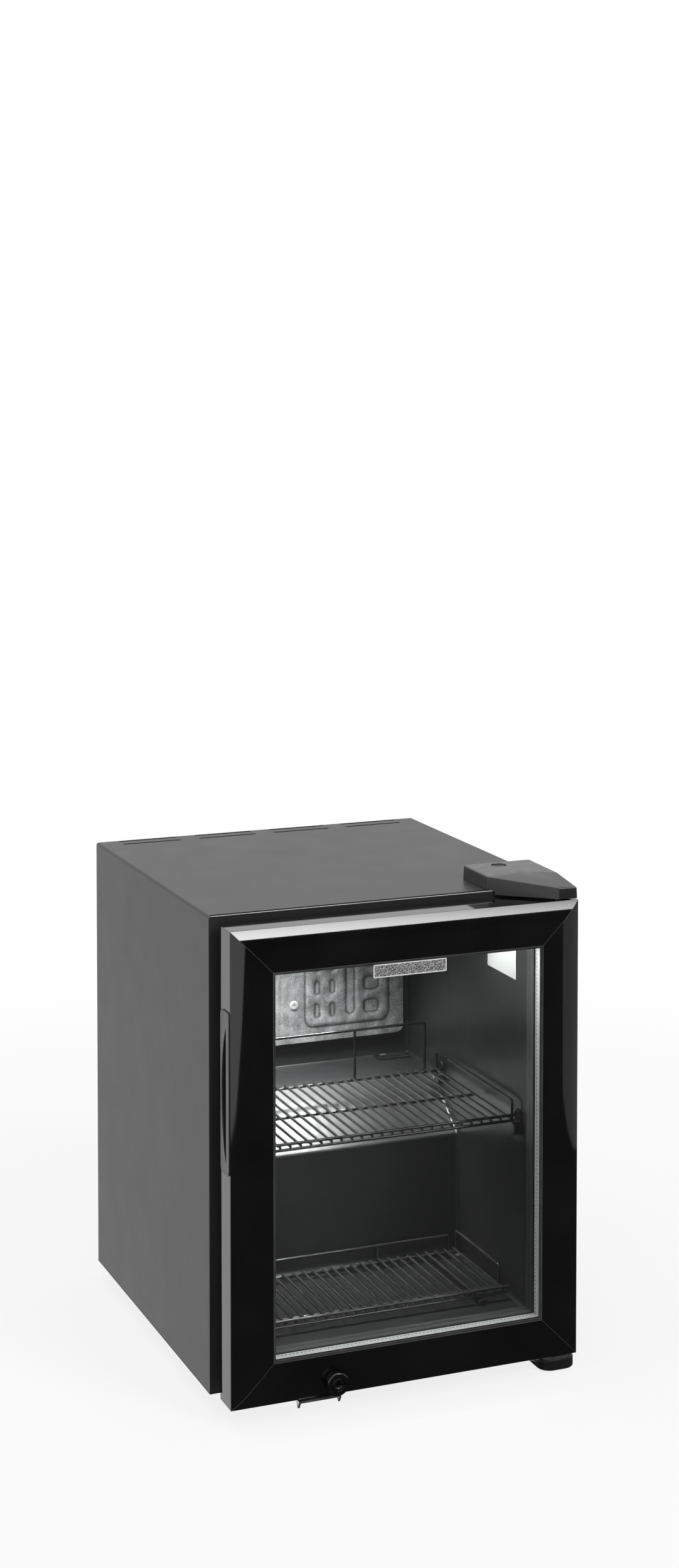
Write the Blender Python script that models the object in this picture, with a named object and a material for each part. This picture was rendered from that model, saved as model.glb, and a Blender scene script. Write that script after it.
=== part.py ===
"""Countertop beverage cooler with a glass door: a foamed steel cabinet, a mitred door frame round a
sealed glass unit, two wire shelves, a plate evaporator and a small compressor behind a raised step.

Every piece is drawn in one working frame: x across the front, y = 0 at the cabinet's front edge and
growing towards the back, z = 0 at the underside of the base pan.  An empty carries that frame so that
the finished cooler stands on z = 0 with its plan centred on the origin.
"""

import math

import bmesh
import bpy
from mathutils import Matrix, Vector

MM = 0.001

# Cabinet
CABINET_WIDTH = 380 * MM
CABINET_DEPTH = 381 * MM
CABINET_HEIGHT = 468 * MM
SHEET = 1.0 * MM
BEND_RADIUS = 3.0 * MM
FRONT_RETURN = 24 * MM
REAR_RETURN = 12 * MM
GAP = 0.3 * MM

# Cold space
WALL_THICKNESS = 32 * MM
LINER = 2.0 * MM
FOAM_BACK = 28 * MM
FLOOR_HEIGHT = 28 * MM
CEILING_DROP = 34 * MM
REAR_SPACE = 64 * MM
MACHINE_SPACE = 201 * MM
STEP_KNEE_HEIGHT = 161 * MM
STEP_SLOPE_RUN = 70 * MM
LEDGE_HEIGHT = 213 * MM
RIB_WIDTH = 8 * MM
RIB_INSET = 38 * MM

# Top and rear air slots
VENT_LENGTH = 67 * MM
VENT_WIDTH = 4 * MM
VENT_PITCH = 88 * MM
VENT_COUNT = 4
VENT_ROW_INSETS = (6 * MM, 21.5 * MM)
LOUVRE_LENGTH = 62 * MM
LOUVRE_WIDTH = 6 * MM
LOUVRE_PITCH_X = 84 * MM
LOUVRE_PITCH_Z = 16 * MM
LOUVRE_COLUMNS = 4
LOUVRE_ROWS = 4
LOUVRE_BASE_HEIGHT = 98 * MM
LOUVRE_TOP_ROWS = 2
COVER_SHEET_CORNER = 4 * MM

# Door frame
DOOR_LEFT_MARGIN = 6.3 * MM
DOOR_RIGHT_MARGIN = 4.3 * MM
DOOR_TOP_MARGIN = 6.0 * MM
DOOR_GAP = 12.2 * MM
DOOR_SIDE_DEPTH = 31.4 * MM
DOOR_CROWN = 5.9 * MM
CROWN_WIDTH = 20 * MM
FRAME_WIDTH = 41 * MM
FRAME_SECTION = 32.5 * MM
FRAME_WALL = 2.2 * MM
LIP = 1.1 * MM
MITRE_GAP = 0.3 * MM

# Sealed glass unit
PANE = 4.0 * MM
SPACER_DEPTH = 10.4 * MM
SPACER_WIDTH = 6.0 * MM
SPACER_INSET = 1.5 * MM
EDGE_CLEARANCE = 0.5 * MM
BACK_FRAME_CHAMFER = 3.0 * MM

# Gasket
GASKET_INSET = 17 * MM
GASKET_WIDTH = 10.5 * MM

# Door handle in the left edge
HANDLE_HEIGHT = 305 * MM
HANDLE_LENGTH = 158 * MM
HANDLE_WIDTH = 24 * MM
HANDLE_FLANGE = 1.2 * MM
FINGER_LENGTH = 131 * MM
FINGER_WIDTH = 12 * MM
FINGER_DEPTH = 20 * MM
FINGER_FROM_BACK = 9.8 * MM
HANDLE_WALL = 2.0 * MM

# Hinges
PIN_FROM_EDGE = 20 * MM
PIN_FROM_CABINET = 28 * MM
PIN_RADIUS = 4.0 * MM
PIN_REACH = 15 * MM
BUSH_RADIUS = 7.0 * MM
BUSH_RELIEF = 2.0 * MM
HINGE_PLATE = 3.0 * MM
HINGE_ARM_RADIUS = 9.0 * MM
HINGE_ARM_START = 215
COVER_WIDTH = 77 * MM
COVER_BACK = 63 * MM
COVER_SHOULDER = 3 * MM
COVER_NOSE_WIDTH = 20 * MM
COVER_OVERHANG = 46 * MM
COVER_SIDE_INSET = 6 * MM
COVER_HEIGHT = 14 * MM
COVER_NOSE_DROP = 6.5 * MM
COVER_NOSE_SWEEP = 2.0 * MM
COVER_STEP_GAP = 2.0 * MM
COVER_DOOR_GAP = 2.0 * MM
COVER_WALL = 2.2 * MM
PLUG_RADIUS = 7.5 * MM
PLUG_FROM_LEFT = 35 * MM
PLUG_FROM_BACK = 14 * MM
LUG_WIDTH = 39 * MM
LUG_SIDE_INSET = 2.0 * MM
LUG_OVERHANG = 42 * MM
LUG_BACK = 22 * MM
HINGE_PLATE_BACK = 44 * MM
LUG_CORNER = 13 * MM
LUG_DEPTH = 16 * MM
LUG_DROP = 1.5 * MM
LUG_PLATE_INSET = 1.0 * MM
LUG_GROOVE = 0.8 * MM
JOGGLE = 4.0 * MM

# Lock
LOCK_FROM_LEFT = 111 * MM
LOCK_HEIGHT = 15 * MM
LOCK_HEAD_RADIUS = 11.5 * MM
LOCK_PROUD = 9.5 * MM
LOCK_BARREL_RADIUS = 8.7 * MM
LOCK_BARREL_LENGTH = 11 * MM
LOCK_PLUG_RADIUS = 6.0 * MM
CAM_LENGTH = 21 * MM
CAM_WIDTH = 7 * MM
CAM_THICKNESS = 2.4 * MM
CAM_CLEARANCE = 1.0 * MM
KEYWAY_WIDTH = 1.4 * MM
KEYWAY_DEPTH = 3.0 * MM
KEEP_WIDTH = 44 * MM
KEEP_OVERHANG = 45 * MM
KEEP_BACK = 40 * MM
KEEP_THICKNESS = 2.0 * MM
KEEP_DROP = 1.2 * MM
KEEP_EAR_DROP = 5.5 * MM
KEEP_EAR_LENGTH = 10 * MM

# Shelves
BAR_DIAMETER = 2.6 * MM
BAR_PITCH = 11 * MM
RAIL_WIRE = 4.0 * MM
WELD_SINK = 0.8 * MM
RAIL_END = 5.5 * MM
SHELF_CLEARANCE = 4.0 * MM
UPPER_SHELF_FRONT = 33 * MM
UPPER_SHELF_BACK_GAP = 28 * MM
UPPER_SHELF_OVER_LEDGE = 9 * MM
UPPER_BACK_STOP_HEIGHT = 51 * MM
UPPER_BACK_STOP_INSET = 16 * MM
UPPER_POST_SPAN = 110 * MM
UPPER_SIDE_STOP_HEIGHT = 17 * MM
LOWER_SHELF_FRONT = 46 * MM
LOWER_SHELF_BACK_GAP = 9 * MM
LOWER_SHELF_OVER_FLOOR = 10 * MM
LOWER_BACK_STOP_HEIGHT = 14 * MM
LOWER_BACK_STOP_INSET = 10 * MM
LOWER_POST_SPAN = 120 * MM
LOWER_SIDE_STOP_HEIGHT = 18 * MM
LOWER_SIDE_STOP_SETBACK = 18 * MM
CLIP_HEIGHT = 26 * MM
CLIP_WIDTH = 14 * MM
CLIP_BASE = 2.4 * MM

# Evaporator and lamp
EVAPORATOR_SIDE_GAP = 11 * MM
EVAPORATOR_OVER_LEDGE = 28 * MM
EVAPORATOR_TOP_GAP = 13 * MM
EVAPORATOR_STANDOFF = 9 * MM
EVAPORATOR_SHEET = 1.4 * MM
EVAPORATOR_CORNER = 9 * MM
PANEL_WIDTH = 96 * MM
PANEL_MARGIN = 21 * MM
PANEL_FOOT = 14.6 * MM
PANEL_CORNER = 10 * MM
PANEL_RISE = 1.6 * MM
ISLAND_FROM_EDGE = (65.2 * MM, 83.3 * MM)
ISLAND_WIDTH = 5 * MM
ISLAND_LENGTH = 15 * MM
ISLAND_RISE = 34 * MM
ISLAND_PITCH = 25.8 * MM
NOTCH_FROM_EDGE = 44.5 * MM
NOTCH_WIDTH = 9 * MM
NOTCH_RISE = 28 * MM
SQUARE_FROM_EDGE = 18.4 * MM
SQUARE = 16 * MM
POST_RADIUS = 4 * MM
EVAPORATOR_SCREW_FROM_PANEL = 15 * MM
EVAPORATOR_SCREW_RISE = 45 * MM
SCREW_RADIUS = 5 * MM
LAMP_LENGTH = 130 * MM
LAMP_WIDTH = 40 * MM
LAMP_HEIGHT = 9 * MM
LAMP_FROM_BACK = 152 * MM
LAMP_BORDER = 5 * MM
LAMP_CORNER = 8 * MM
LENS_CORNER = 5 * MM
DIFFUSER_DROP = 2.5 * MM
SENSOR_FROM_SIDE = 24 * MM
SENSOR_CLIP_WIDTH = 28 * MM
SENSOR_CLIP_DEPTH = 4 * MM
SENSOR_CLIP_HEIGHT = 12 * MM
SENSOR_LENGTH = 40 * MM
SENSOR_RADIUS = 3.5 * MM

# Machine space
COMPRESSOR_RADIUS = 50 * MM
COMPRESSOR_HEIGHT = 118 * MM
COMPRESSOR_X = 45 * MM
COMPRESSOR_FROM_BACK = 81 * MM
COMPRESSOR_PLATE = 2.0 * MM
GROMMET_HEIGHT = 9 * MM
GROMMET_RADIUS = 8 * MM
PIPE_RADIUS = 2.5 * MM
COIL_SIDE_GAP = 40 * MM
COIL_RUNS = 6
COIL_PITCH = 40 * MM
COIL_BASE_HEIGHT = 205 * MM
COIL_RETURN = 12 * MM
DRIER_RADIUS = 9 * MM
DRIER_LENGTH = 80 * MM
DRIER_X = -62 * MM
KNOB_RADIUS = 15 * MM
KNOB_DEPTH = 12 * MM
KNOB_FROM_SIDE = 65 * MM
KNOB_HEIGHT = 48 * MM
CUP_SIDE = 42 * MM
CUP_DEPTH = 15 * MM
CUP_WALL = 1.6 * MM
CUP_CORNER = 5 * MM
KNOB_MARK_WIDTH = 2.4 * MM
THERMOSTAT_DEPTH = 24 * MM
SHAFT_RADIUS = 3.0 * MM
GLAND_FROM_SIDE = 50 * MM
GLAND_HEIGHT = 40 * MM
GLAND_RADIUS = 8 * MM
GLAND_BORE = 3.7 * MM

# Feet
FOOT_HEIGHT = 18 * MM
FOOT_RADIUS = 14 * MM
FOOT_INSET_X = 40 * MM
FOOT_INSET_Y = 46 * MM
FOOT_FROM_HINGE = 4 * MM

# Places worked out from the sizes above
HALF_WIDTH = CABINET_WIDTH / 2
COLD_HALF = HALF_WIDTH - WALL_THICKNESS
BACK_WALL_DEPTH = CABINET_DEPTH - REAR_SPACE
STEP_DEPTH = CABINET_DEPTH - MACHINE_SPACE
STEP_TOP_DEPTH = STEP_DEPTH + STEP_SLOPE_RUN
RAIL_HALF = COLD_HALF - SHELF_CLEARANCE
BAR_COUNT = int(2 * (RAIL_HALF - RAIL_END) / BAR_PITCH + 0.01) + 1
BAR_HALF = (BAR_COUNT - 1) * BAR_PITCH / 2
UPPER_SHELF_BACK = STEP_TOP_DEPTH - UPPER_SHELF_BACK_GAP
UPPER_SHELF_HEIGHT = LEDGE_HEIGHT + UPPER_SHELF_OVER_LEDGE
LOWER_SHELF_BACK = STEP_DEPTH - LOWER_SHELF_BACK_GAP
LOWER_SHELF_HEIGHT = FLOOR_HEIGHT + LOWER_SHELF_OVER_FLOOR
EVAPORATOR_HALF = COLD_HALF - EVAPORATOR_SIDE_GAP
EVAPORATOR_BOTTOM = LEDGE_HEIGHT + EVAPORATOR_OVER_LEDGE
LAMP_DEPTH = BACK_WALL_DEPTH - LAMP_FROM_BACK
COMPRESSOR_DEPTH = CABINET_DEPTH - COMPRESSOR_FROM_BACK
KNOB_X = -HALF_WIDTH + KNOB_FROM_SIDE
GLAND_X = HALF_WIDTH - GLAND_FROM_SIDE
CEILING = CABINET_HEIGHT - CEILING_DROP
WRAP_BACK = CABINET_DEPTH - SHEET - GAP
DOOR_X0 = -HALF_WIDTH + DOOR_LEFT_MARGIN
DOOR_X1 = HALF_WIDTH - DOOR_RIGHT_MARGIN
DOOR_Z0 = 0.0
DOOR_Z1 = CABINET_HEIGHT - DOOR_TOP_MARGIN
DOOR_BACK = -DOOR_GAP
DOOR_EDGE = DOOR_BACK - DOOR_SIDE_DEPTH
DOOR_FRONT = DOOR_EDGE - DOOR_CROWN
LOCK_FACE = DOOR_FRONT - LOCK_PROUD
FRONT_PANE_FRONT = DOOR_FRONT + LIP + GAP
SPACER_FRONT = FRONT_PANE_FRONT + PANE + GAP
REAR_PANE_FRONT = SPACER_FRONT + SPACER_DEPTH + GAP
BACK_FRAME_FRONT = REAR_PANE_FRONT + PANE + GAP
PIN_X = HALF_WIDTH - PIN_FROM_EDGE
PIN_Y = -PIN_FROM_CABINET
LOCK_X = -HALF_WIDTH + LOCK_FROM_LEFT
BARREL_END = DOOR_FRONT + LOCK_BARREL_LENGTH
CAM_FRONT = BARREL_END + GAP
FOAM_OUT = LINER + FOAM_BACK
KNOB_Y = CABINET_DEPTH
MID_DEPTH = (CABINET_DEPTH + LOCK_FACE) / 2
ROUND = 24


# Small tools for building meshes

def material(name, colour, roughness, metallic=0.0, alpha=1.0):
    made = bpy.data.materials.new(name)
    made.use_nodes = True
    shader = made.node_tree.nodes["Principled BSDF"]
    shader.inputs["Base Color"].default_value = (*colour, 1.0)
    shader.inputs["Roughness"].default_value = roughness
    shader.inputs["Metallic"].default_value = metallic
    shader.inputs["Alpha"].default_value = alpha
    made.diffuse_color = (*colour, alpha)
    return made


def empty(name, place, parent=None):
    made = bpy.data.objects.new(name, None)
    bpy.context.collection.objects.link(made)
    made.location = place
    made.parent = parent
    return made


def finish(name, bm, finish_material, pivot):
    """Turns a mesh drawn in the working frame into a named object carried by its body's empty."""
    bmesh.ops.recalc_face_normals(bm, faces=bm.faces)
    mesh = bpy.data.meshes.new(name)
    bm.to_mesh(mesh)
    bm.free()
    mesh.shade_smooth()
    mesh.set_sharp_from_angle(angle=math.radians(32))
    made = bpy.data.objects.new(name, mesh)
    bpy.context.collection.objects.link(made)
    if finish_material:
        mesh.materials.append(finish_material)
    if pivot:
        made.parent = pivot
        made.location = -Vector(pivot["place"])
    return made


def helper_for(target, name, bm):
    """A hidden wire mesh carried with its target, for cutting or joining."""
    made = finish(name, bm, None, None)
    made.parent = target.parent
    made.location = target.location
    made.hide_render = True
    made.display_type = "WIRE"
    return made


def use_helper(target, operation, helper):
    modifier = target.modifiers.new(operation.lower(), "BOOLEAN")
    modifier.operation = operation
    modifier.solver = "EXACT"
    modifier.object = helper
    return target


def combine(target, operation, bm):
    """Cuts or joins a second mesh, kept as a hidden helper beside its target."""
    name = f"{target.name}_{operation.lower()}_{len(target.modifiers)}"
    return use_helper(target, operation, helper_for(target, name, bm))


def add_faces(bm, rings, closed_rings=True, caps=True):
    """Skins a list of equal point rings; caps close the first and last ring."""
    made = [[bm.verts.new(point) for point in ring] for ring in rings]
    count = len(made[0])
    spans = count if closed_rings else count - 1
    for low, high in zip(made, made[1:]):
        for i in range(spans):
            j = (i + 1) % count
            bm.faces.new((low[i], low[j], high[j], high[i]))
    if caps:
        bm.faces.new(list(reversed(made[0])))
        bm.faces.new(made[-1])
    return made


def placed(axis, u, v, w):
    """A point from plane coordinates (u, v) and the distance w along the axis."""
    return {"x": (w, u, v), "y": (u, w, v), "z": (u, v, w)}[axis]


def prism(outline, axis, low, high, bm=None):
    """Extrudes a flat outline along an axis: (y, z) along x, (x, z) along y, (x, y) along z."""
    bm = bm or bmesh.new()
    add_faces(bm, [[placed(axis, u, v, w) for u, v in outline] for w in (low, high)])
    return bm


def block(x0, x1, y0, y1, z0, z1, bm=None):
    return prism([(x0, y0), (x1, y0), (x1, y1), (x0, y1)], "z", z0, z1, bm)


def arc(cu, cv, radius, start, end, steps):
    angles = [math.radians(start + (end - start) * i / steps) for i in range(steps + 1)]
    return [(cu + radius * math.cos(a), cv + radius * math.sin(a)) for a in angles]


def rounded(u0, u1, v0, v1, radius, steps=3):
    """A rectangle with round corners, anticlockwise."""
    radius = min(radius, 0.49 * (u1 - u0), 0.49 * (v1 - v0))
    points = arc(u0 + radius, v0 + radius, radius, 180, 270, steps)
    points += arc(u1 - radius, v0 + radius, radius, 270, 360, steps)
    points += arc(u1 - radius, v1 - radius, radius, 0, 90, steps)
    points += arc(u0 + radius, v1 - radius, radius, 90, 180, steps)
    return points


def grown(outline, amount):
    """Moves every side of an anticlockwise outline outwards, with mitred corners."""
    made = []
    count = len(outline)
    for i, here in enumerate(outline):
        before = Vector(outline[i - 1])
        after = Vector(outline[(i + 1) % count])
        into = (Vector(here) - before).normalized()
        out = (after - Vector(here)).normalized()
        normal_in = Vector((into.y, -into.x))
        normal_out = Vector((out.y, -out.x))
        shift = (normal_in + normal_out) * (amount / (1 + normal_in.dot(normal_out)))
        made.append(tuple(Vector(here) + shift))
    return made


def turned(profile, centre, axis="z", sides=ROUND, bm=None):
    """Spins (radius, height) points about an axis through the centre; ends are closed flat."""
    bm = bm or bmesh.new()
    rings = []
    for radius, height in profile:
        circle = arc(0, 0, radius, 0, 360, sides)[:-1]
        rings.append([Vector(centre) + Vector(placed(axis, u, v, height)) for u, v in circle])
    add_faces(bm, rings)
    return bm


def tube(points, radius, sides=6, bm=None, twist=0.0):
    """A round wire along a polyline, mitred at its bends."""
    bm = bm or bmesh.new()
    points = [Vector(p) for p in points]
    heading = (points[1] - points[0]).normalized()
    side = heading.orthogonal().normalized()
    side.rotate(Matrix.Rotation(twist, 3, heading))
    rings = []
    for i, here in enumerate(points):
        into = (here - points[max(i - 1, 0)]).normalized() if i else heading
        out = (points[i + 1] - here).normalized() if i + 1 < len(points) else into
        side.rotate(heading.rotation_difference(into))
        cut = (into + out).normalized()
        ring = []
        for k in range(sides):
            offset = side.copy()
            offset.rotate(Matrix.Rotation(2 * math.pi * k / sides, 3, into))
            offset *= radius
            slide = -offset.dot(cut) / into.dot(cut)
            ring.append(here + offset + into * slide)
        rings.append(ring)
        heading = into
    add_faces(bm, rings)
    return bm


def fillet_path(points, radius, steps=3):
    """Replaces each inner corner of a polyline by a short arc."""
    points = [Vector(p) for p in points]
    made = [points[0]]
    for before, here, after in zip(points, points[1:], points[2:]):
        into = (here - before).normalized()
        out = (after - here).normalized()
        half = into.angle(out) / 2
        reach = min(radius * math.tan(half), 0.45 * (here - before).length, 0.45 * (after - here).length)
        start = here - into * reach
        end = here + out * reach
        for i in range(steps + 1):
            t = i / steps
            made.append(start.lerp(here, t).lerp(here.lerp(end, t), t))
    made.append(points[-1])
    return made


# Cabinet

def wrap_line(inset, y):
    """The bent sheet's path up the left side, over the top and down the right side."""
    radius = max(BEND_RADIUS - inset, GAP)
    x = HALF_WIDTH - inset
    z = CABINET_HEIGHT - inset
    foot = SHEET + GAP
    left = arc(-x + radius, z - radius, radius, 180, 90, 4)
    right = arc(x - radius, z - radius, radius, 90, 0, 4)
    return [(u, y, v) for u, v in [(-x, foot), *left, *right, (x, foot)]]


def make_outer_wrap(paint, body):
    section = [(0, 0), (0, WRAP_BACK), (REAR_RETURN, WRAP_BACK), (REAR_RETURN, WRAP_BACK - SHEET)]
    section += [(SHEET, WRAP_BACK - SHEET), (SHEET, SHEET), (FRONT_RETURN, SHEET), (FRONT_RETURN, 0)]
    lines = [wrap_line(inset, y) for inset, y in section]
    bm = bmesh.new()
    add_faces(bm, list(zip(*lines)))
    wrap = finish("outer_wrap", bm, paint, body)
    slots = bmesh.new()
    for inset in VENT_ROW_INSETS:
        y = CABINET_DEPTH - inset
        for i in range(VENT_COUNT):
            x = (i - (VENT_COUNT - 1) / 2) * VENT_PITCH
            outline = rounded(x - VENT_LENGTH / 2, x + VENT_LENGTH / 2, y - VENT_WIDTH / 2,
                              y + VENT_WIDTH / 2, VENT_WIDTH / 2, 2)
            prism(outline, "z", CABINET_HEIGHT - 2 * SHEET, CABINET_HEIGHT + SHEET, slots)
    return combine(wrap, "DIFFERENCE", slots)


def make_base_pan(paint, body):
    inner = HALF_WIDTH - FRONT_RETURN - GAP
    rear = HALF_WIDTH - REAR_RETURN - GAP
    pan = finish("base_pan", block(-HALF_WIDTH, HALF_WIDTH, 0, WRAP_BACK, 0, SHEET), paint, body)
    lips = block(-inner, inner, 0, SHEET, 0.5 * SHEET, FRONT_RETURN)
    block(-rear, rear, WRAP_BACK - SHEET, WRAP_BACK, 0.5 * SHEET, REAR_RETURN, lips)
    return combine(pan, "UNION", lips)


def make_rear_cover(paint, body):
    side = HALF_WIDTH - REAR_RETURN / 2
    top = CABINET_HEIGHT - REAR_RETURN / 2
    outline = rounded(-side, side, REAR_RETURN / 4, top, COVER_SHEET_CORNER)
    cover = finish("rear_cover", prism(outline, "y", CABINET_DEPTH - SHEET, CABINET_DEPTH), paint, body)
    holes = bmesh.new()
    low, high = CABINET_DEPTH - 2 * SHEET, CABINET_DEPTH + SHEET
    rows = [LOUVRE_BASE_HEIGHT + i * LOUVRE_PITCH_Z for i in range(LOUVRE_ROWS)]
    rows += [top - REAR_RETURN - (i + 1) * LOUVRE_PITCH_Z for i in range(LOUVRE_TOP_ROWS)]
    for z in rows:
        for i in range(LOUVRE_COLUMNS):
            x = (i - (LOUVRE_COLUMNS - 1) / 2) * LOUVRE_PITCH_X
            slot = rounded(x - LOUVRE_LENGTH / 2, x + LOUVRE_LENGTH / 2, z - LOUVRE_WIDTH / 2,
                           z + LOUVRE_WIDTH / 2, LOUVRE_WIDTH / 2, 1)
            prism(slot, "y", low, high, holes)
    half = CUP_SIDE / 2
    prism(rounded(KNOB_X - half, KNOB_X + half, KNOB_HEIGHT - half, KNOB_HEIGHT + half, CUP_CORNER),
          "y", low, high, holes)
    prism(arc(GLAND_X, GLAND_HEIGHT, GLAND_RADIUS + GAP, 0, 360, 16)[:-1], "y", low, high, holes)
    return combine(cover, "DIFFERENCE", holes)


def cold_outline(amount=0.0, front=0.0):
    """Side view of the cold space: floor, compressor step, sloped top, ledge, back wall, ceiling."""
    corners = [(0, FLOOR_HEIGHT), (STEP_DEPTH, FLOOR_HEIGHT), (STEP_DEPTH, STEP_KNEE_HEIGHT),
               (STEP_TOP_DEPTH, LEDGE_HEIGHT), (BACK_WALL_DEPTH, LEDGE_HEIGHT),
               (BACK_WALL_DEPTH, CEILING), (0, CEILING)]
    made = grown(corners, amount)
    made[0] = (front, made[0][1])
    made[-1] = (front, made[-1][1])
    return made


def foam_back_line(amount):
    """The rear of the foam: machine-space wall, slope, underside of the ledge and upper back."""
    line = cold_outline(amount)[1:6]
    line[0] = (line[0][0], SHEET + GAP)
    line[-1] = (line[-1][0], CABINET_HEIGHT - SHEET - GAP)
    return line


def make_insulation(foam, body):
    front = SHEET + GAP
    outline = [(front, SHEET + GAP), *foam_back_line(FOAM_OUT), (front, CABINET_HEIGHT - SHEET - GAP)]
    half = HALF_WIDTH - SHEET - GAP
    block_of_foam = finish("insulation_block", prism(outline, "x", -half, half), foam, body)
    corners = rounded(-half, half, SHEET + GAP, CABINET_HEIGHT - SHEET - GAP, BEND_RADIUS)
    combine(block_of_foam, "INTERSECT", prism(corners, "y", 0, CABINET_DEPTH))
    cold = COLD_HALF + LINER + GAP
    return combine(block_of_foam, "DIFFERENCE", prism(cold_outline(LINER + GAP, -SHEET), "x", -cold, cold))


def make_partition(steel, body):
    inner = foam_back_line(FOAM_OUT + GAP)
    outer = foam_back_line(FOAM_OUT + GAP + SHEET)
    half = HALF_WIDTH - SHEET - BEND_RADIUS
    return finish("machine_partition", prism(inner + outer[::-1], "x", -half, half), steel, body)


def rail_underside(height):
    """Bottom of the cross rails of a shelf whose bars lie at the given height."""
    return height - BAR_DIAMETER / 2 - RAIL_WIRE + WELD_SINK


def make_liner(plastic, body):
    outside = COLD_HALF + LINER
    liner = finish("inner_liner", prism(cold_outline(LINER), "x", -outside, outside), plastic, body)
    reach = HALF_WIDTH - FRONT_RETURN - GAP
    bottom = FRONT_RETURN + GAP
    top = CABINET_HEIGHT - FRONT_RETURN - GAP
    combine(liner, "UNION", block(-reach, reach, 0, SHEET, bottom, top))
    combine(liner, "DIFFERENCE", prism(cold_outline(0, -SHEET), "x", -COLD_HALF, COLD_HALF))
    rib_top = rail_underside(LOWER_SHELF_HEIGHT) - GAP
    ribs = bmesh.new()
    for x in (-COLD_HALF + RIB_INSET, COLD_HALF - RIB_INSET):
        block(x - RIB_WIDTH / 2, x + RIB_WIDTH / 2, LOWER_SHELF_FRONT - RIB_WIDTH,
              LOWER_SHELF_BACK, FLOOR_HEIGHT - LINER / 2, rib_top, ribs)
    return combine(liner, "UNION", ribs)


# Evaporator, lamp and sensor

def make_evaporator(aluminium, steel, body):
    """A roll-bond plate: inflated panels stand proud of the sheet round flat islands."""
    y1 = BACK_WALL_DEPTH - EVAPORATOR_STANDOFF
    y0 = y1 - EVAPORATOR_SHEET
    half = EVAPORATOR_HALF
    bottom = EVAPORATOR_BOTTOM
    top = CEILING - EVAPORATOR_TOP_GAP
    outline = rounded(-half, half, bottom, top, EVAPORATOR_CORNER)
    plate = finish("evaporator_plate", prism(outline, "y", y0, y1), aluminium, body)
    raised = bmesh.new()
    islands = bmesh.new()
    panel_top = top - PANEL_MARGIN
    cut = (y0 - 2 * PANEL_RISE, y0 + EVAPORATOR_SHEET / 5)
    edge = half - PANEL_MARGIN
    rows = int((panel_top - bottom - ISLAND_RISE - ISLAND_LENGTH) / ISLAND_PITCH) + 1
    for side in (-1, 1):
        u0, u1 = sorted((side * (edge - PANEL_WIDTH), side * edge))
        panel = rounded(u0, u1, bottom + PANEL_FOOT, panel_top, PANEL_CORNER)
        prism(panel, "y", y0 - PANEL_RISE, y0 + EVAPORATOR_SHEET / 2, raised)
        x = side * (edge - NOTCH_FROM_EDGE)
        prism(rounded(x - NOTCH_WIDTH / 2, x + NOTCH_WIDTH / 2, bottom + NOTCH_RISE,
                      panel_top - PANEL_CORNER, NOTCH_WIDTH / 2), "y", *cut, islands)
        for k in range(rows):
            z = bottom + ISLAND_RISE + k * ISLAND_PITCH
            for inset in ISLAND_FROM_EDGE:
                x = side * (edge - inset)
                prism(rounded(x - ISLAND_WIDTH / 2, x + ISLAND_WIDTH / 2, z - ISLAND_LENGTH / 2,
                              z + ISLAND_LENGTH / 2, ISLAND_WIDTH / 2, 1), "y", *cut, islands)
            x = side * (edge - SQUARE_FROM_EDGE)
            prism(rounded(x - SQUARE / 2, x + SQUARE / 2, z - SQUARE / 2, z + SQUARE / 2, SQUARE / 4, 1),
                  "y", *cut, islands)
    combine(plate, "UNION", raised)
    combine(plate, "DIFFERENCE", islands)
    posts = bmesh.new()
    for x in (-half + PANEL_MARGIN / 2, half - PANEL_MARGIN / 2):
        for z in (bottom + PANEL_MARGIN, top - PANEL_MARGIN):
            ends = [(POST_RADIUS, y1 - EVAPORATOR_SHEET / 2), (POST_RADIUS, BACK_WALL_DEPTH - GAP)]
            turned(ends, (x, 0, z), "y", 10, posts)
    combine(plate, "UNION", posts)
    x = edge - PANEL_WIDTH - EVAPORATOR_SCREW_FROM_PANEL
    z = bottom + EVAPORATOR_SCREW_RISE
    head = [(0.64 * SCREW_RADIUS, y0 - SCREW_RADIUS / 2), (SCREW_RADIUS, y0 - SCREW_RADIUS / 4),
            (SCREW_RADIUS, y0 - GAP)]
    finish("evaporator_screw", turned(head, (x, 0, z), "y", 14), steel, body)


def make_lamp(shell, glow, body):
    x = LAMP_LENGTH / 2
    y0 = LAMP_DEPTH - LAMP_WIDTH / 2
    y1 = LAMP_DEPTH + LAMP_WIDTH / 2
    top = CEILING - GAP
    low = top - LAMP_HEIGHT
    housing = finish("lamp_housing", prism(rounded(-x, x, y0, y1, LAMP_CORNER), "z", low, top), shell, body)
    inset = LAMP_BORDER
    recess = prism(rounded(-x + inset, x - inset, y0 + inset, y1 - inset, LENS_CORNER), "z",
                   low - SHEET, low + LAMP_HEIGHT / 2)
    combine(housing, "DIFFERENCE", recess)
    inset += GAP
    lens = rounded(-x + inset, x - inset, y0 + inset, y1 - inset, LENS_CORNER)
    finish("lamp_diffuser", prism(lens, "z", low - DIFFUSER_DROP, low + LAMP_HEIGHT / 2 - GAP), glow, body)


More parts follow.
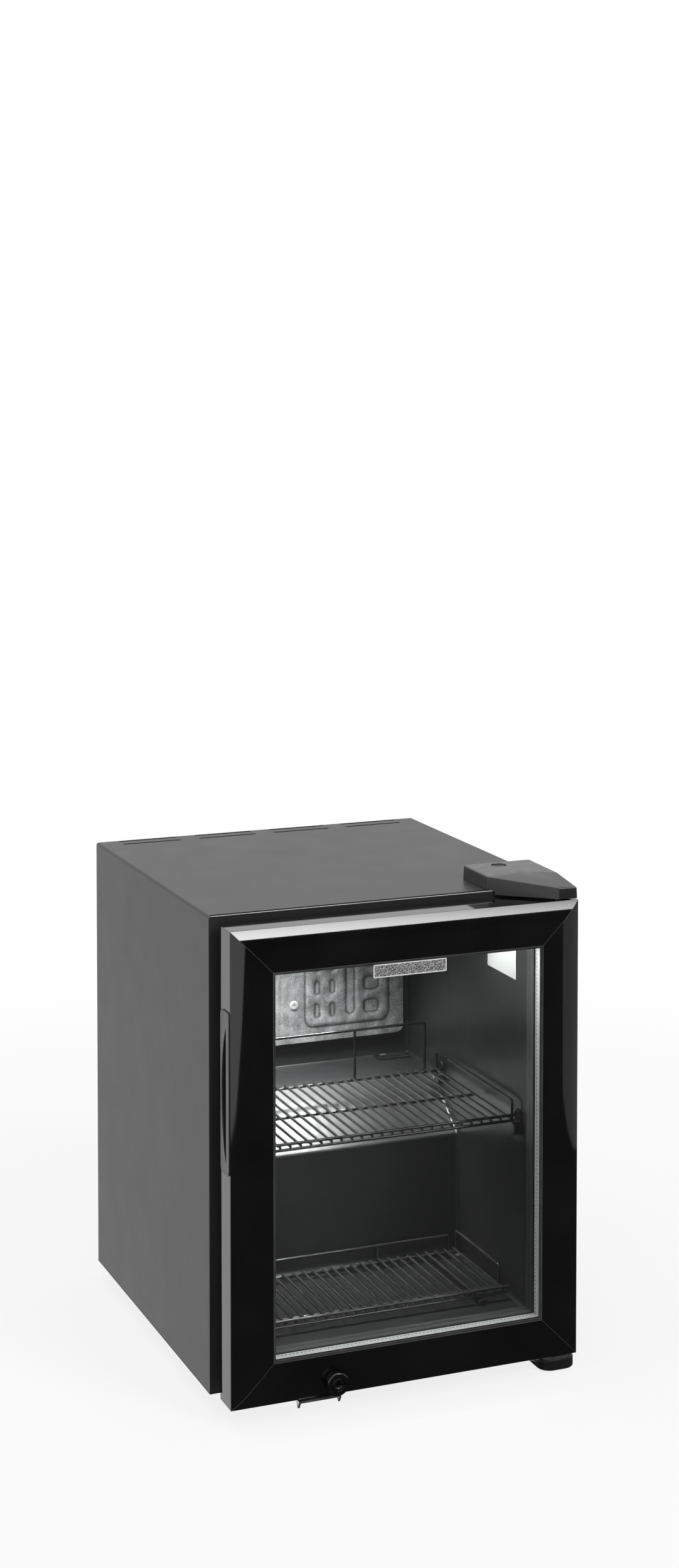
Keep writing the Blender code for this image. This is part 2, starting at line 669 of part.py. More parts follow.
def make_sensor_clip(plastic, body):
    y = BACK_WALL_DEPTH - GAP
    z = LEDGE_HEIGHT + GAP
    x = COLD_HALF - SENSOR_FROM_SIDE
    half = SENSOR_CLIP_WIDTH / 2
    foot = block(x - half, x + half, y - SENSOR_CLIP_DEPTH, y, z, z + SENSOR_CLIP_HEIGHT)
    clip = finish("sensor_clip", foot, plastic, body)
    bulb_y = y - SENSOR_CLIP_DEPTH - SENSOR_RADIUS / 2
    bulb_z = z + SENSOR_CLIP_HEIGHT / 2 + SHEET
    ends = [(x - SENSOR_LENGTH / 2, bulb_y, bulb_z), (x + SENSOR_LENGTH / 2, bulb_y, bulb_z)]
    return combine(clip, "UNION", tube(ends, SENSOR_RADIUS, 10))


# Wire shelves

def make_shelf(name, front, back, height, wire, body):
    """Bars run front to back on cross rails; a second front rail clamps their ends from above."""
    end = RAIL_HALF
    sink = BAR_DIAMETER / 2 + RAIL_WIRE / 2 - WELD_SINK
    rails = bmesh.new()
    for y, z in ((front, height - sink), (front, height + sink), ((front + back) / 2, height - sink),
                 (back, height - sink)):
        tube([(-end, y, z), (end, y, z)], RAIL_WIRE / 2, 8, rails, math.pi / 8)
    shelf = finish(name, rails, wire, body)
    bars = bmesh.new()
    reach = RAIL_WIRE / 2
    for i in range(BAR_COUNT):
        x = (i - (BAR_COUNT - 1) / 2) * BAR_PITCH
        ends = [(x, front - reach, height), (x, back + reach, height)]
        tube(ends, BAR_DIAMETER / 2, 4, bars, math.pi / 4)
    return combine(shelf, "UNION", bars)


def make_back_stop(name, back, height, rise, inset, posts, wire, body):
    """A bent wire with two welded posts, standing just behind the shelf's rear rail."""
    y = back + RAIL_WIRE + GAP
    foot = rail_underside(height)
    top = height + rise
    x = RAIL_HALF - inset
    bend = fillet_path([(-x, y, foot), (-x, y, top), (x, y, top), (x, y, foot)], 2 * RAIL_WIRE, 3)
    stop = finish(name, tube(bend, RAIL_WIRE / 2, 6), wire, body)
    uprights = bmesh.new()
    for px in (-posts / 2, posts / 2):
        tube([(px, y, foot), (px, y, top)], 0.45 * RAIL_WIRE, 6, uprights)
    return combine(stop, "UNION", uprights)


def make_side_stop(name, side, front, back, height, rise, wire, body):
    x = side * (BAR_HALF + BAR_DIAMETER / 2 + GAP + RAIL_WIRE / 2)
    y0 = front + RAIL_WIRE + GAP
    y1 = back + RAIL_WIRE + GAP
    foot = rail_underside(height)
    top = height + rise
    bend = fillet_path([(x, y0, foot), (x, y0, top), (x, y1, top), (x, y1, foot)], 2 * RAIL_WIRE, 3)
    return finish(name, tube(bend, RAIL_WIRE / 2, 6), wire, body)


def make_shelf_clip(name, side, y, plastic, body):
    """A hook on the side wall: a thin base, a ledge under the rail's end and a rounded lip."""
    wall = COLD_HALF - GAP
    under = rail_underside(UPPER_SHELF_HEIGHT) - GAP
    low = under - CLIP_HEIGHT / 2
    high = low + CLIP_HEIGHT
    base_in = RAIL_HALF + GAP
    tip = RAIL_HALF - RAIL_WIRE
    outline = [(wall, low), (wall, high), (base_in, high), (base_in, under), (tip, under)]
    outline += [(tip, under - CLIP_BASE), (base_in, low)]
    outline = [(side * u, v) for u, v in outline]
    return finish(name, prism(outline, "y", y - CLIP_WIDTH / 2, y + CLIP_WIDTH / 2), plastic, body)


# Machine space behind the step

def make_compressor(enamel, steel, plastic, body):
    x, y = COMPRESSOR_X, COMPRESSOR_DEPTH
    seat = SHEET + GAP + GROMMET_HEIGHT
    reach = COMPRESSOR_RADIUS + GROMMET_RADIUS
    plate = rounded(x - reach, x + reach, y - reach, y + reach, 2 * GROMMET_RADIUS)
    base = finish("compressor_base", prism(plate, "z", seat, seat + COMPRESSOR_PLATE), steel, body)
    legs = bmesh.new()
    offset = reach - 1.4 * GROMMET_RADIUS
    for u in (-offset, offset):
        for v in (-offset, offset):
            turned([(GROMMET_RADIUS, SHEET + GAP), (GROMMET_RADIUS, seat + COMPRESSOR_PLATE / 2)],
                   (x + u, y + v, 0), "z", 10, legs)
    combine(base, "UNION", legs)
    low = seat + COMPRESSOR_PLATE + GAP
    r, h = COMPRESSOR_RADIUS, COMPRESSOR_HEIGHT
    shape = [(0.72, 0.0), (0.93, 0.08), (1.0, 0.22), (1.0, 0.46), (1.04, 0.47), (1.04, 0.51), (1.0, 0.52),
             (0.99, 0.72), (0.88, 0.88), (0.62, 0.97), (0.25, 1.0)]
    shell = turned([(r * a, low + h * b) for a, b in shape], (x, y, 0), "z", 20)
    finish("compressor_shell", shell, enamel, body)
    box_x = x - 1.04 * r - GAP
    box = block(box_x - 0.5 * r, box_x, y - 0.5 * r, y + 0.5 * r, low + 0.2 * h, low + 0.75 * h)
    finish("terminal_box", box, plastic, body)
    return low + h


def make_pipework(copper, brass, body, crown):
    """Condenser serpentine on the partition, the drier at its end and the return pipe to the shell."""
    skin = foam_back_line(FOAM_OUT + GAP + SHEET)
    y = skin[-1][0] + GAP + PIPE_RADIUS
    half = HALF_WIDTH - COIL_SIDE_GAP
    x = COMPRESSOR_X
    over = crown + DRIER_RADIUS
    route = [(x, COMPRESSOR_DEPTH, crown + GAP), (x, COMPRESSOR_DEPTH, over), (x, y, over),
             (x, y, COIL_BASE_HEIGHT)]
    side = 1
    for run in range(COIL_RUNS):
        z = COIL_BASE_HEIGHT + run * COIL_PITCH
        route += [(side * half, y, z)]
        if run + 1 < COIL_RUNS:
            route += [(side * half, y, z + COIL_PITCH)]
        side = -side
    drier_y = COMPRESSOR_DEPTH
    drier_z = crown - DRIER_LENGTH
    low = drier_z - DRIER_RADIUS
    down_x = -half - COIL_RETURN
    route[-1] = (down_x, y, route[-1][2])
    route += [(down_x, y, low), (down_x, drier_y, low), (DRIER_X, drier_y, low),
              (DRIER_X, drier_y, drier_z - GAP)]
    finish("condenser_coil", tube(fillet_path(route, 0.4 * COIL_PITCH, 3), PIPE_RADIUS, 6), copper, body)
    drier = [(PIPE_RADIUS, 0), (DRIER_RADIUS, 0.12 * DRIER_LENGTH), (DRIER_RADIUS, 0.88 * DRIER_LENGTH),
             (PIPE_RADIUS, DRIER_LENGTH)]
    finish("filter_drier", turned(drier, (DRIER_X, drier_y, drier_z), "z", 12), brass, body)
    lead = [(DRIER_X, drier_y, crown + GAP), (DRIER_X, drier_y, skin[-2][1] - GAP)]
    finish("capillary_pipe", tube(lead, PIPE_RADIUS / 2, 6), copper, body)


def make_thermostat(plastic, steel, body, knob_body):
    half = CUP_SIDE / 2
    x, z = KNOB_X, KNOB_HEIGHT
    back = CABINET_DEPTH - SHEET - GAP
    floor = back - CUP_DEPTH
    flange = half + 3 * CUP_WALL
    outer = half + CUP_WALL
    rim = rounded(x - flange, x + flange, z - flange, z + flange, CUP_CORNER)
    cup = finish("thermostat_cup", prism(rim, "y", back - CUP_WALL, back), plastic, body)
    wall = rounded(x - outer, x + outer, z - outer, z + outer, CUP_CORNER)
    combine(cup, "UNION", prism(wall, "y", floor, back - CUP_WALL / 2))
    hollow = rounded(x - half, x + half, z - half, z + half, CUP_CORNER)
    combine(cup, "DIFFERENCE", prism(hollow, "y", floor + CUP_WALL, back + CUP_WALL))
    bore = arc(x, z, SHAFT_RADIUS + GAP, 0, 360, 16)[:-1]
    combine(cup, "DIFFERENCE", prism(bore, "y", floor - CUP_WALL, back))
    y1 = floor - GAP
    y0 = y1 - THERMOSTAT_DEPTH
    case = block(x - 0.8 * half, x + 0.8 * half, y0, y1, z - 0.6 * half, z + 0.6 * half)
    finish("thermostat_body", case, steel, body)
    face = floor + CUP_WALL + 2 * GAP
    r = KNOB_RADIUS
    profile = [(SHAFT_RADIUS, y1 + GAP), (SHAFT_RADIUS, face), (r, face), (r, face + 0.3 * KNOB_DEPTH),
               (0.86 * r, face + 0.9 * KNOB_DEPTH), (0.8 * r, face + KNOB_DEPTH)]
    knob = finish("thermostat_knob", turned(profile, (x, 0, z), "y"), plastic, knob_body)
    mark = KNOB_MARK_WIDTH / 2
    notch = block(x - mark, x + mark, face + 0.5 * KNOB_DEPTH, face + 2 * KNOB_DEPTH, z + 0.35 * r,
                  z + 2 * r)
    combine(knob, "DIFFERENCE", notch)


def make_gland(rubber, body):
    y1 = CABINET_DEPTH
    y0 = y1 - SHEET - GAP
    r = GLAND_RADIUS
    profile = [(1.5 * r, y0 - 2 * SHEET), (1.5 * r, y0), (r, y0), (r, y1)]
    gland = finish("cord_gland", turned(profile, (GLAND_X, 0, GLAND_HEIGHT), "y", 16), rubber, body)
    bore = [(GLAND_BORE, y0 - 4 * SHEET), (GLAND_BORE, y1 + SHEET)]
    combine(gland, "DIFFERENCE", turned(bore, (GLAND_X, 0, GLAND_HEIGHT), "y", 16))


def make_feet(rubber, body):
    r = FOOT_RADIUS
    front = HINGE_PLATE_BACK + FOOT_FROM_HINGE + r
    for row, y in (("front", front), ("rear", CABINET_DEPTH - FOOT_INSET_Y)):
        for side, sign in (("left", -1), ("right", 1)):
            profile = [(0.86 * r, -FOOT_HEIGHT), (r, 0.12 * FOOT_HEIGHT - FOOT_HEIGHT), (0.84 * r, -GAP)]
            x = sign * (HALF_WIDTH - FOOT_INSET_X)
            finish(f"foot_{row}_{side}", turned(profile, (x, y, 0), "z", 20), rubber, body)


# Hinges

def cover_plan(amount=0.0):
    """Plan of the hinge cover: square at the back, drawn in to a nose over the hinge pin."""
    right = HALF_WIDTH - COVER_SIDE_INSET
    left = right - COVER_WIDTH
    outline = [(left, COVER_SHOULDER), (right - COVER_NOSE_WIDTH, -COVER_OVERHANG + COVER_NOSE_SWEEP),
               (right, -COVER_OVERHANG), (right, COVER_BACK), (left, COVER_BACK)]
    return grown(outline, amount)


def cover_profile(amount=0.0):
    """Side view of the cover: level over the cabinet, sloping down to the nose over the door."""
    top = CABINET_HEIGHT + COVER_HEIGHT - amount
    nose = top - COVER_NOSE_DROP
    under = DOOR_Z1 + COVER_DOOR_GAP
    far = COVER_OVERHANG + COVER_WIDTH
    step = -COVER_STEP_GAP
    slope = COVER_NOSE_DROP / (COVER_OVERHANG + COVER_SHOULDER)
    end = nose - slope * (far - COVER_OVERHANG)
    seat = CABINET_HEIGHT + GAP
    crest = [(far, top), (COVER_SHOULDER, top), (-far, end)]
    if amount:
        return [(-far, under - amount), (far, under - amount), *crest]
    return [(-far, under), (step, under), (step, seat), (far, seat), *crest]


def make_upper_hinge(steel, plastic, body):
    right = HALF_WIDTH - COVER_SIDE_INSET
    low = CABINET_HEIGHT + GAP
    back = COVER_BACK - 2 * COVER_WALL - GAP
    left = right - COVER_WIDTH + COVER_SHOULDER + 5 * COVER_WALL
    outer = PIN_X + HINGE_ARM_RADIUS
    nose = arc(PIN_X, PIN_Y, HINGE_ARM_RADIUS, HINGE_ARM_START, 360, 8)
    plan = [(left, COVER_SHOULDER + COVER_WALL), *nose, (outer, back), (left, back)]
    plate = prism(plan, "z", low, low + HINGE_PLATE)
    bracket = finish("upper_hinge_bracket", plate, steel, body)
    pin = turned([(PIN_RADIUS, DOOR_Z1 - PIN_REACH), (PIN_RADIUS, low + HINGE_PLATE / 2)],
                 (PIN_X, PIN_Y, 0), "z")
    combine(bracket, "UNION", pin)

    outside = prism(cover_plan(), "z", DOOR_Z1, CABINET_HEIGHT + 2 * COVER_HEIGHT)
    cover = finish("upper_hinge_cover", outside, plastic, body)
    combine(cover, "INTERSECT", prism(cover_profile(), "x", 0, CABINET_WIDTH))
    hollow = prism(cover_plan(-COVER_WALL), "z", DOOR_Z1 - COVER_HEIGHT, CABINET_HEIGHT + 2 * COVER_HEIGHT)
    room = helper_for(cover, "upper_hinge_cover_room", hollow)
    combine(room, "INTERSECT", prism(cover_profile(COVER_WALL), "x", 0, CABINET_WIDTH))
    use_helper(cover, "DIFFERENCE", room)
    x = right - COVER_WIDTH + PLUG_FROM_LEFT
    y = COVER_BACK - PLUG_FROM_BACK
    top = CABINET_HEIGHT + COVER_HEIGHT
    seat = top - 0.65 * COVER_WALL
    stem = 0.4 * PLUG_RADIUS
    well = [(stem + GAP, low + HINGE_PLATE), (stem + GAP, seat), (PLUG_RADIUS + GAP, seat),
            (PLUG_RADIUS + GAP, top + COVER_WALL)]
    combine(cover, "DIFFERENCE", turned(well, (x, y, 0), "z"))
    plug = [(stem, low + HINGE_PLATE + GAP), (stem, seat + GAP), (PLUG_RADIUS, seat + GAP),
            (PLUG_RADIUS, top - GAP), (0.9 * PLUG_RADIUS, top)]
    finish("hinge_cover_plug", turned(plug, (x, y, 0), "z"), plastic, body)


def lug_plan(amount=0.0, back=None):
    right = HALF_WIDTH - LUG_SIDE_INSET
    left = right - LUG_WIDTH
    r = LUG_CORNER
    back = LUG_BACK if back is None else back
    outline = arc(left + r, -LUG_OVERHANG + r, r, 180, 270, 5)
    outline += arc(right - r, -LUG_OVERHANG + r, r, 270, 360, 5)
    return grown(outline + [(right, back), (left, back)], amount)


def make_lower_hinge(steel, plastic, body):
    t = HINGE_PLATE
    drop = LUG_DROP + GAP
    blank = prism(lug_plan(-LUG_PLATE_INSET, HINGE_PLATE_BACK), "z", -3 * t, t)
    plate = finish("lower_hinge_bracket", blank, steel, body)
    far = LUG_OVERHANG + HINGE_PLATE_BACK
    bend = JOGGLE / 2
    side = [(far, -GAP), (bend, -GAP), (-bend, -drop), (-far, -drop), (-far, -drop - t), (-bend, -drop - t),
            (bend, -GAP - t), (far, -GAP - t)]
    combine(plate, "INTERSECT", prism(side[::-1], "x", 0, CABINET_WIDTH))
    pin = turned([(PIN_RADIUS, -drop - t / 2), (PIN_RADIUS, PIN_REACH)], (PIN_X, PIN_Y, 0), "z")
    combine(plate, "UNION", pin)
    top = -drop - t - GAP
    cap = prism(lug_plan(), "z", -LUG_DEPTH, top)
    cap = finish("lower_hinge_cap", cap, plastic, body)
    groove = prism(lug_plan(LUG_CORNER), "z", -0.62 * LUG_DEPTH, -0.55 * LUG_DEPTH)
    core = prism(lug_plan(-LUG_GROOVE), "z", -LUG_DEPTH, 0)
    ring = helper_for(cap, "lower_hinge_cap_groove", groove)
    combine(ring, "DIFFERENCE", core)
    use_helper(cap, "DIFFERENCE", ring)


# Door

def corner(index, inset):
    """Corner of the door rectangle, moved in by the inset, anticlockwise from the lower left."""
    x = DOOR_X0 + inset if index in (0, 3) else DOOR_X1 - inset
    z = DOOR_Z0 + inset if index in (0, 1) else DOOR_Z1 - inset
    return Vector((x, 0, z))


def door_ring(section, bm=None):
    """Carries an (inset, y) section round the door with square mitred corners."""
    bm = bm or bmesh.new()
    rings = []
    for index in (0, 1, 2, 3, 0):
        rings.append([corner(index, s) + Vector((0, y, 0)) for s, y in section])
    loops = [[bm.verts.new(p) for p in ring] for ring in rings[:4]]
    loops.append(loops[0])
    count = len(section)
    for low, high in zip(loops, loops[1:]):
        for i in range(count):
            j = (i + 1) % count
            bm.faces.new((low[i], low[j], high[j], high[i]))
    return bm


def frame_section():
    """Half-round outer edge rising to a flat face, a thin lip over the glass and a square back."""
    crown = [(CROWN_WIDTH * (1 - math.cos(a)), DOOR_EDGE - DOOR_CROWN * math.sin(a))
             for a in [math.pi / 2 * i / 6 for i in range(7)]]
    inner = DOOR_FRONT + LIP
    lip = [(FRAME_WIDTH, DOOR_FRONT), (FRAME_WIDTH, inner), (FRAME_SECTION, inner)]
    return [(0, DOOR_BACK), *crown, *lip, (FRAME_SECTION, DOOR_BACK)]


def chamber_section():
    """The hollow inside each frame extrusion."""
    w = FRAME_WALL
    inner = FRAME_SECTION - w
    return [(w, DOOR_BACK - w), (w, DOOR_EDGE + 0.5 * w), (0.8 * CROWN_WIDTH, DOOR_FRONT + LIP + w),
            (inner, DOOR_FRONT + LIP + w), (inner, DOOR_BACK - w)]


def frame_piece(index, section, stretch):
    """One mitred side of the frame; a positive stretch runs past the mitres, for cutting."""
    along = (corner((index + 1) % 4, 0) - corner(index, 0)).normalized()
    rings = []
    for end, sign in ((index, 1), ((index + 1) % 4, -1)):
        shift = along * (-stretch * sign)
        rings.append([corner(end, s) + Vector((0, y, 0)) + shift for s, y in section])
    bm = bmesh.new()
    add_faces(bm, rings)
    return bm


def make_frame(gloss, door):
    names = ("door_rail_bottom", "door_stile_right", "door_rail_top", "door_stile_left")
    sides = {}
    for index, name in enumerate(names):
        side = finish(name, frame_piece(index, frame_section(), -0.71 * MITRE_GAP), gloss, door)
        combine(side, "DIFFERENCE", frame_piece(index, chamber_section(), FRAME_WIDTH))
        sides[name] = side
    bush = BUSH_RADIUS + GAP
    reach = PIN_REACH + BUSH_RELIEF
    for name in ("door_rail_bottom", "door_stile_right"):
        hole = turned([(bush, -reach), (bush, reach)], (PIN_X, PIN_Y, DOOR_Z0), "z")
        combine(sides[name], "DIFFERENCE", hole)
    for name in ("door_rail_top", "door_stile_right"):
        hole = turned([(bush, -reach), (bush, reach)], (PIN_X, PIN_Y, DOOR_Z1), "z")
        combine(sides[name], "DIFFERENCE", hole)
    barrel = LOCK_BARREL_RADIUS + GAP
    well = turned([(barrel, DOOR_FRONT - LOCK_PROUD), (barrel, BARREL_END)], (LOCK_X, 0, LOCK_HEIGHT), "y")
    combine(sides["door_rail_bottom"], "DIFFERENCE", well)
    x0, x1, y0, y1 = cam_slot()
    combine(sides["door_rail_bottom"], "DIFFERENCE", block(x0, x1, y0, y1, -FRAME_WALL, 1.5 * FRAME_WALL))
    y0, y1, z0, z1, x1 = handle_pocket(GAP)
    combine(sides["door_stile_left"], "DIFFERENCE", block(DOOR_X0 - FRAME_WALL, x1, y0, y1, z0, z1))


def make_glass(glass, aluminium, rubber, plastic, door):
    edge = FRAME_SECTION + EDGE_CLEARANCE
    for name, front in (("front_pane", FRONT_PANE_FRONT), ("rear_pane", REAR_PANE_FRONT)):
        low, high = corner(0, edge), corner(2, edge)
        finish(name, block(low.x, high.x, front, front + PANE, low.z, high.z), glass, door)
    inner = FRAME_WIDTH + SPACER_INSET
    y0, y1 = SPACER_FRONT, SPACER_FRONT + SPACER_DEPTH
    spacer = [(inner, y0), (inner, y1), (inner + SPACER_WIDTH, y1), (inner + SPACER_WIDTH, y0)]
    finish("glass_spacer", door_ring(spacer), aluminium, door)
    seal = [(edge, y0), (edge, y1), (inner - GAP, y1), (inner - GAP, y0)]
    finish("glass_edge_seal", door_ring(seal), rubber, door)
    y0, y1 = BACK_FRAME_FRONT, DOOR_BACK
    shy = FRAME_WIDTH - BACK_FRAME_CHAMFER
    back = [(edge, y0), (edge, y1), (shy, y1), (FRAME_WIDTH, y1 - BACK_FRAME_CHAMFER), (FRAME_WIDTH, y0)]
    finish("door_back_frame", door_ring(back), plastic, door)


def make_gasket(rubber, door):
    y0, y1 = DOOR_BACK + GAP, -GAP
    a, b = GASKET_INSET, GASKET_INSET + GASKET_WIDTH
    waist = 0.18 * GASKET_WIDTH
    mid = (y0 + y1) / 2
    section = [(a, y0), (a + waist, mid), (a, y1), (b, y1), (b - waist, mid), (b, y0)]
    finish("door_gasket", door_ring(section), rubber, door)


def handle_pocket(clearance):
    """Outside of the handle's cup: y and z limits and its inner end."""
    y1 = DOOR_BACK - FINGER_FROM_BACK + HANDLE_WALL + clearance
    y0 = DOOR_BACK - FINGER_FROM_BACK - FINGER_WIDTH - HANDLE_WALL - clearance
    half = FINGER_LENGTH / 2 + HANDLE_WALL + clearance
    inner = DOOR_X0 + FINGER_DEPTH + HANDLE_WALL + clearance
    return y0, y1, HANDLE_HEIGHT - half, HANDLE_HEIGHT + half, inner


def make_handle(plastic, door):
    y_back = DOOR_BACK - FINGER_FROM_BACK + 0.25 * FINGER_WIDTH
    plate = rounded(y_back - HANDLE_WIDTH, y_back, HANDLE_HEIGHT - HANDLE_LENGTH / 2,
                    HANDLE_HEIGHT + HANDLE_LENGTH / 2, 0.25 * HANDLE_WIDTH)
    outer = DOOR_X0 - GAP - HANDLE_FLANGE
    insert = finish("handle_insert", prism(plate, "x", outer, DOOR_X0 - GAP), plastic, door)
    y0, y1, z0, z1, x1 = handle_pocket(0)
    combine(insert, "UNION", block(outer + HANDLE_FLANGE / 2, x1, y0, y1, z0, z1))
    w = HANDLE_WALL
    slot = rounded(y0 + w, y1 - w, z0 + w, z1 - w, 0.45 * FINGER_WIDTH)
    combine(insert, "DIFFERENCE", prism(slot, "x", outer - HANDLE_FLANGE, x1 - w))


def make_bushes(plastic, door):
    r, bore = BUSH_RADIUS, PIN_RADIUS + GAP
    length = PIN_REACH + GAP
    for name, low in (("lower_hinge_bush", DOOR_Z0), ("upper_hinge_bush", DOOR_Z1 - length)):
        centre = (PIN_X, PIN_Y, low)
        bush = finish(name, turned([(r, 0), (r, length)], centre, "z"), plastic, door)
        combine(bush, "DIFFERENCE", turned([(bore, -r), (bore, 2 * length)], centre, "z"))


# Lock

def cam_slot():
    """Opening that the cam swings down through, in the rail's underside and in the keep."""
    swing = math.sqrt((CAM_LENGTH + CAM_CLEARANCE) ** 2 - (LOCK_HEIGHT - 1.5 * FRAME_WALL) ** 2)
    front = CAM_FRONT - CAM_CLEARANCE
    back = CAM_FRONT + CAM_THICKNESS + CAM_CLEARANCE
    return LOCK_X - swing - CAM_WIDTH / 4, LOCK_X + 0.65 * CAM_WIDTH, front, back


def make_lock(chrome, dark, door, lock):
    centre = (LOCK_X, 0, LOCK_HEIGHT)
    r = LOCK_HEAD_RADIUS
    face = LOCK_FACE
    flange = DOOR_FRONT - GAP
    head = [(0.8 * r, face), (0.94 * r, face + 0.06 * r), (r, face + 0.25 * r), (r, flange),
            (LOCK_BARREL_RADIUS, flange), (LOCK_BARREL_RADIUS, BARREL_END - GAP)]
    housing = finish("lock_housing", turned(head, centre, "y"), dark, door)
    bore = LOCK_PLUG_RADIUS + GAP
    combine(housing, "DIFFERENCE", turned([(bore, face - r), (bore, BARREL_END + r)], centre, "y"))
    tang = 0.42 * LOCK_PLUG_RADIUS
    end = CAM_FRONT + CAM_THICKNESS
    shank = BARREL_END - GAP
    stem = [(LOCK_PLUG_RADIUS, face + GAP), (LOCK_PLUG_RADIUS, shank), (tang, shank), (tang, end)]
    plug = finish("lock_plug", turned(stem, centre, "y"), chrome, lock)
    reach = 0.6 * LOCK_PLUG_RADIUS
    slit = block(LOCK_X - KEYWAY_WIDTH / 2, LOCK_X + KEYWAY_WIDTH / 2, face - GAP, face + KEYWAY_DEPTH,
                 LOCK_HEIGHT - reach, LOCK_HEIGHT + reach)
    combine(plug, "DIFFERENCE", slit)
    half = CAM_WIDTH / 2
    hub = 0.9 * CAM_WIDTH
    meet = 180 - math.degrees(math.asin(half / hub))
    lever = arc(LOCK_X, LOCK_HEIGHT, hub, -meet, meet, 12)
    lever += [(LOCK_X - CAM_LENGTH, LOCK_HEIGHT + half), (LOCK_X - CAM_LENGTH, LOCK_HEIGHT - half)]
    cam = finish("lock_cam", prism(lever, "y", CAM_FRONT, end), chrome, lock)
    hole = turned([(tang + GAP, CAM_FRONT - half), (tang + GAP, end + half)], centre, "y", 16)
    combine(cam, "DIFFERENCE", hole)


def make_keep(steel, body):
    """A joggled plate under the door with a slot for the cam and two small ears at its front corners."""
    x0, x1, y0, y1 = cam_slot()
    right = x1 + (KEEP_WIDTH - (x1 - x0)) / 5
    left = right - KEEP_WIDTH
    t = KEEP_THICKNESS
    drop = KEEP_DROP + GAP
    bend = JOGGLE / 2
    tip = -KEEP_OVERHANG
    side = [(KEEP_BACK, -GAP), (KEEP_BACK, -GAP - t), (bend, -GAP - t), (-bend, -drop - t), (tip, -drop - t),
            (tip, -drop), (-bend, -drop), (bend, -GAP)]
    keep = finish("lock_keep", prism(side, "x", left, right), steel, body)
    combine(keep, "DIFFERENCE", block(x0, x1, y0, y1, -4 * t, t))
    ears = bmesh.new()
    low = -drop - t
    end = tip + KEEP_EAR_LENGTH
    ear = [(tip, low + t / 2), (tip, low), (tip + KEEP_EAR_LENGTH / 3, low - KEEP_EAR_DROP), (end, low),
           (end, low + t / 2)]
    for u in (left, right - t):
        prism(ear, "x", u, u + t, ears)
    combine(keep, "UNION", ears)


# The whole cooler

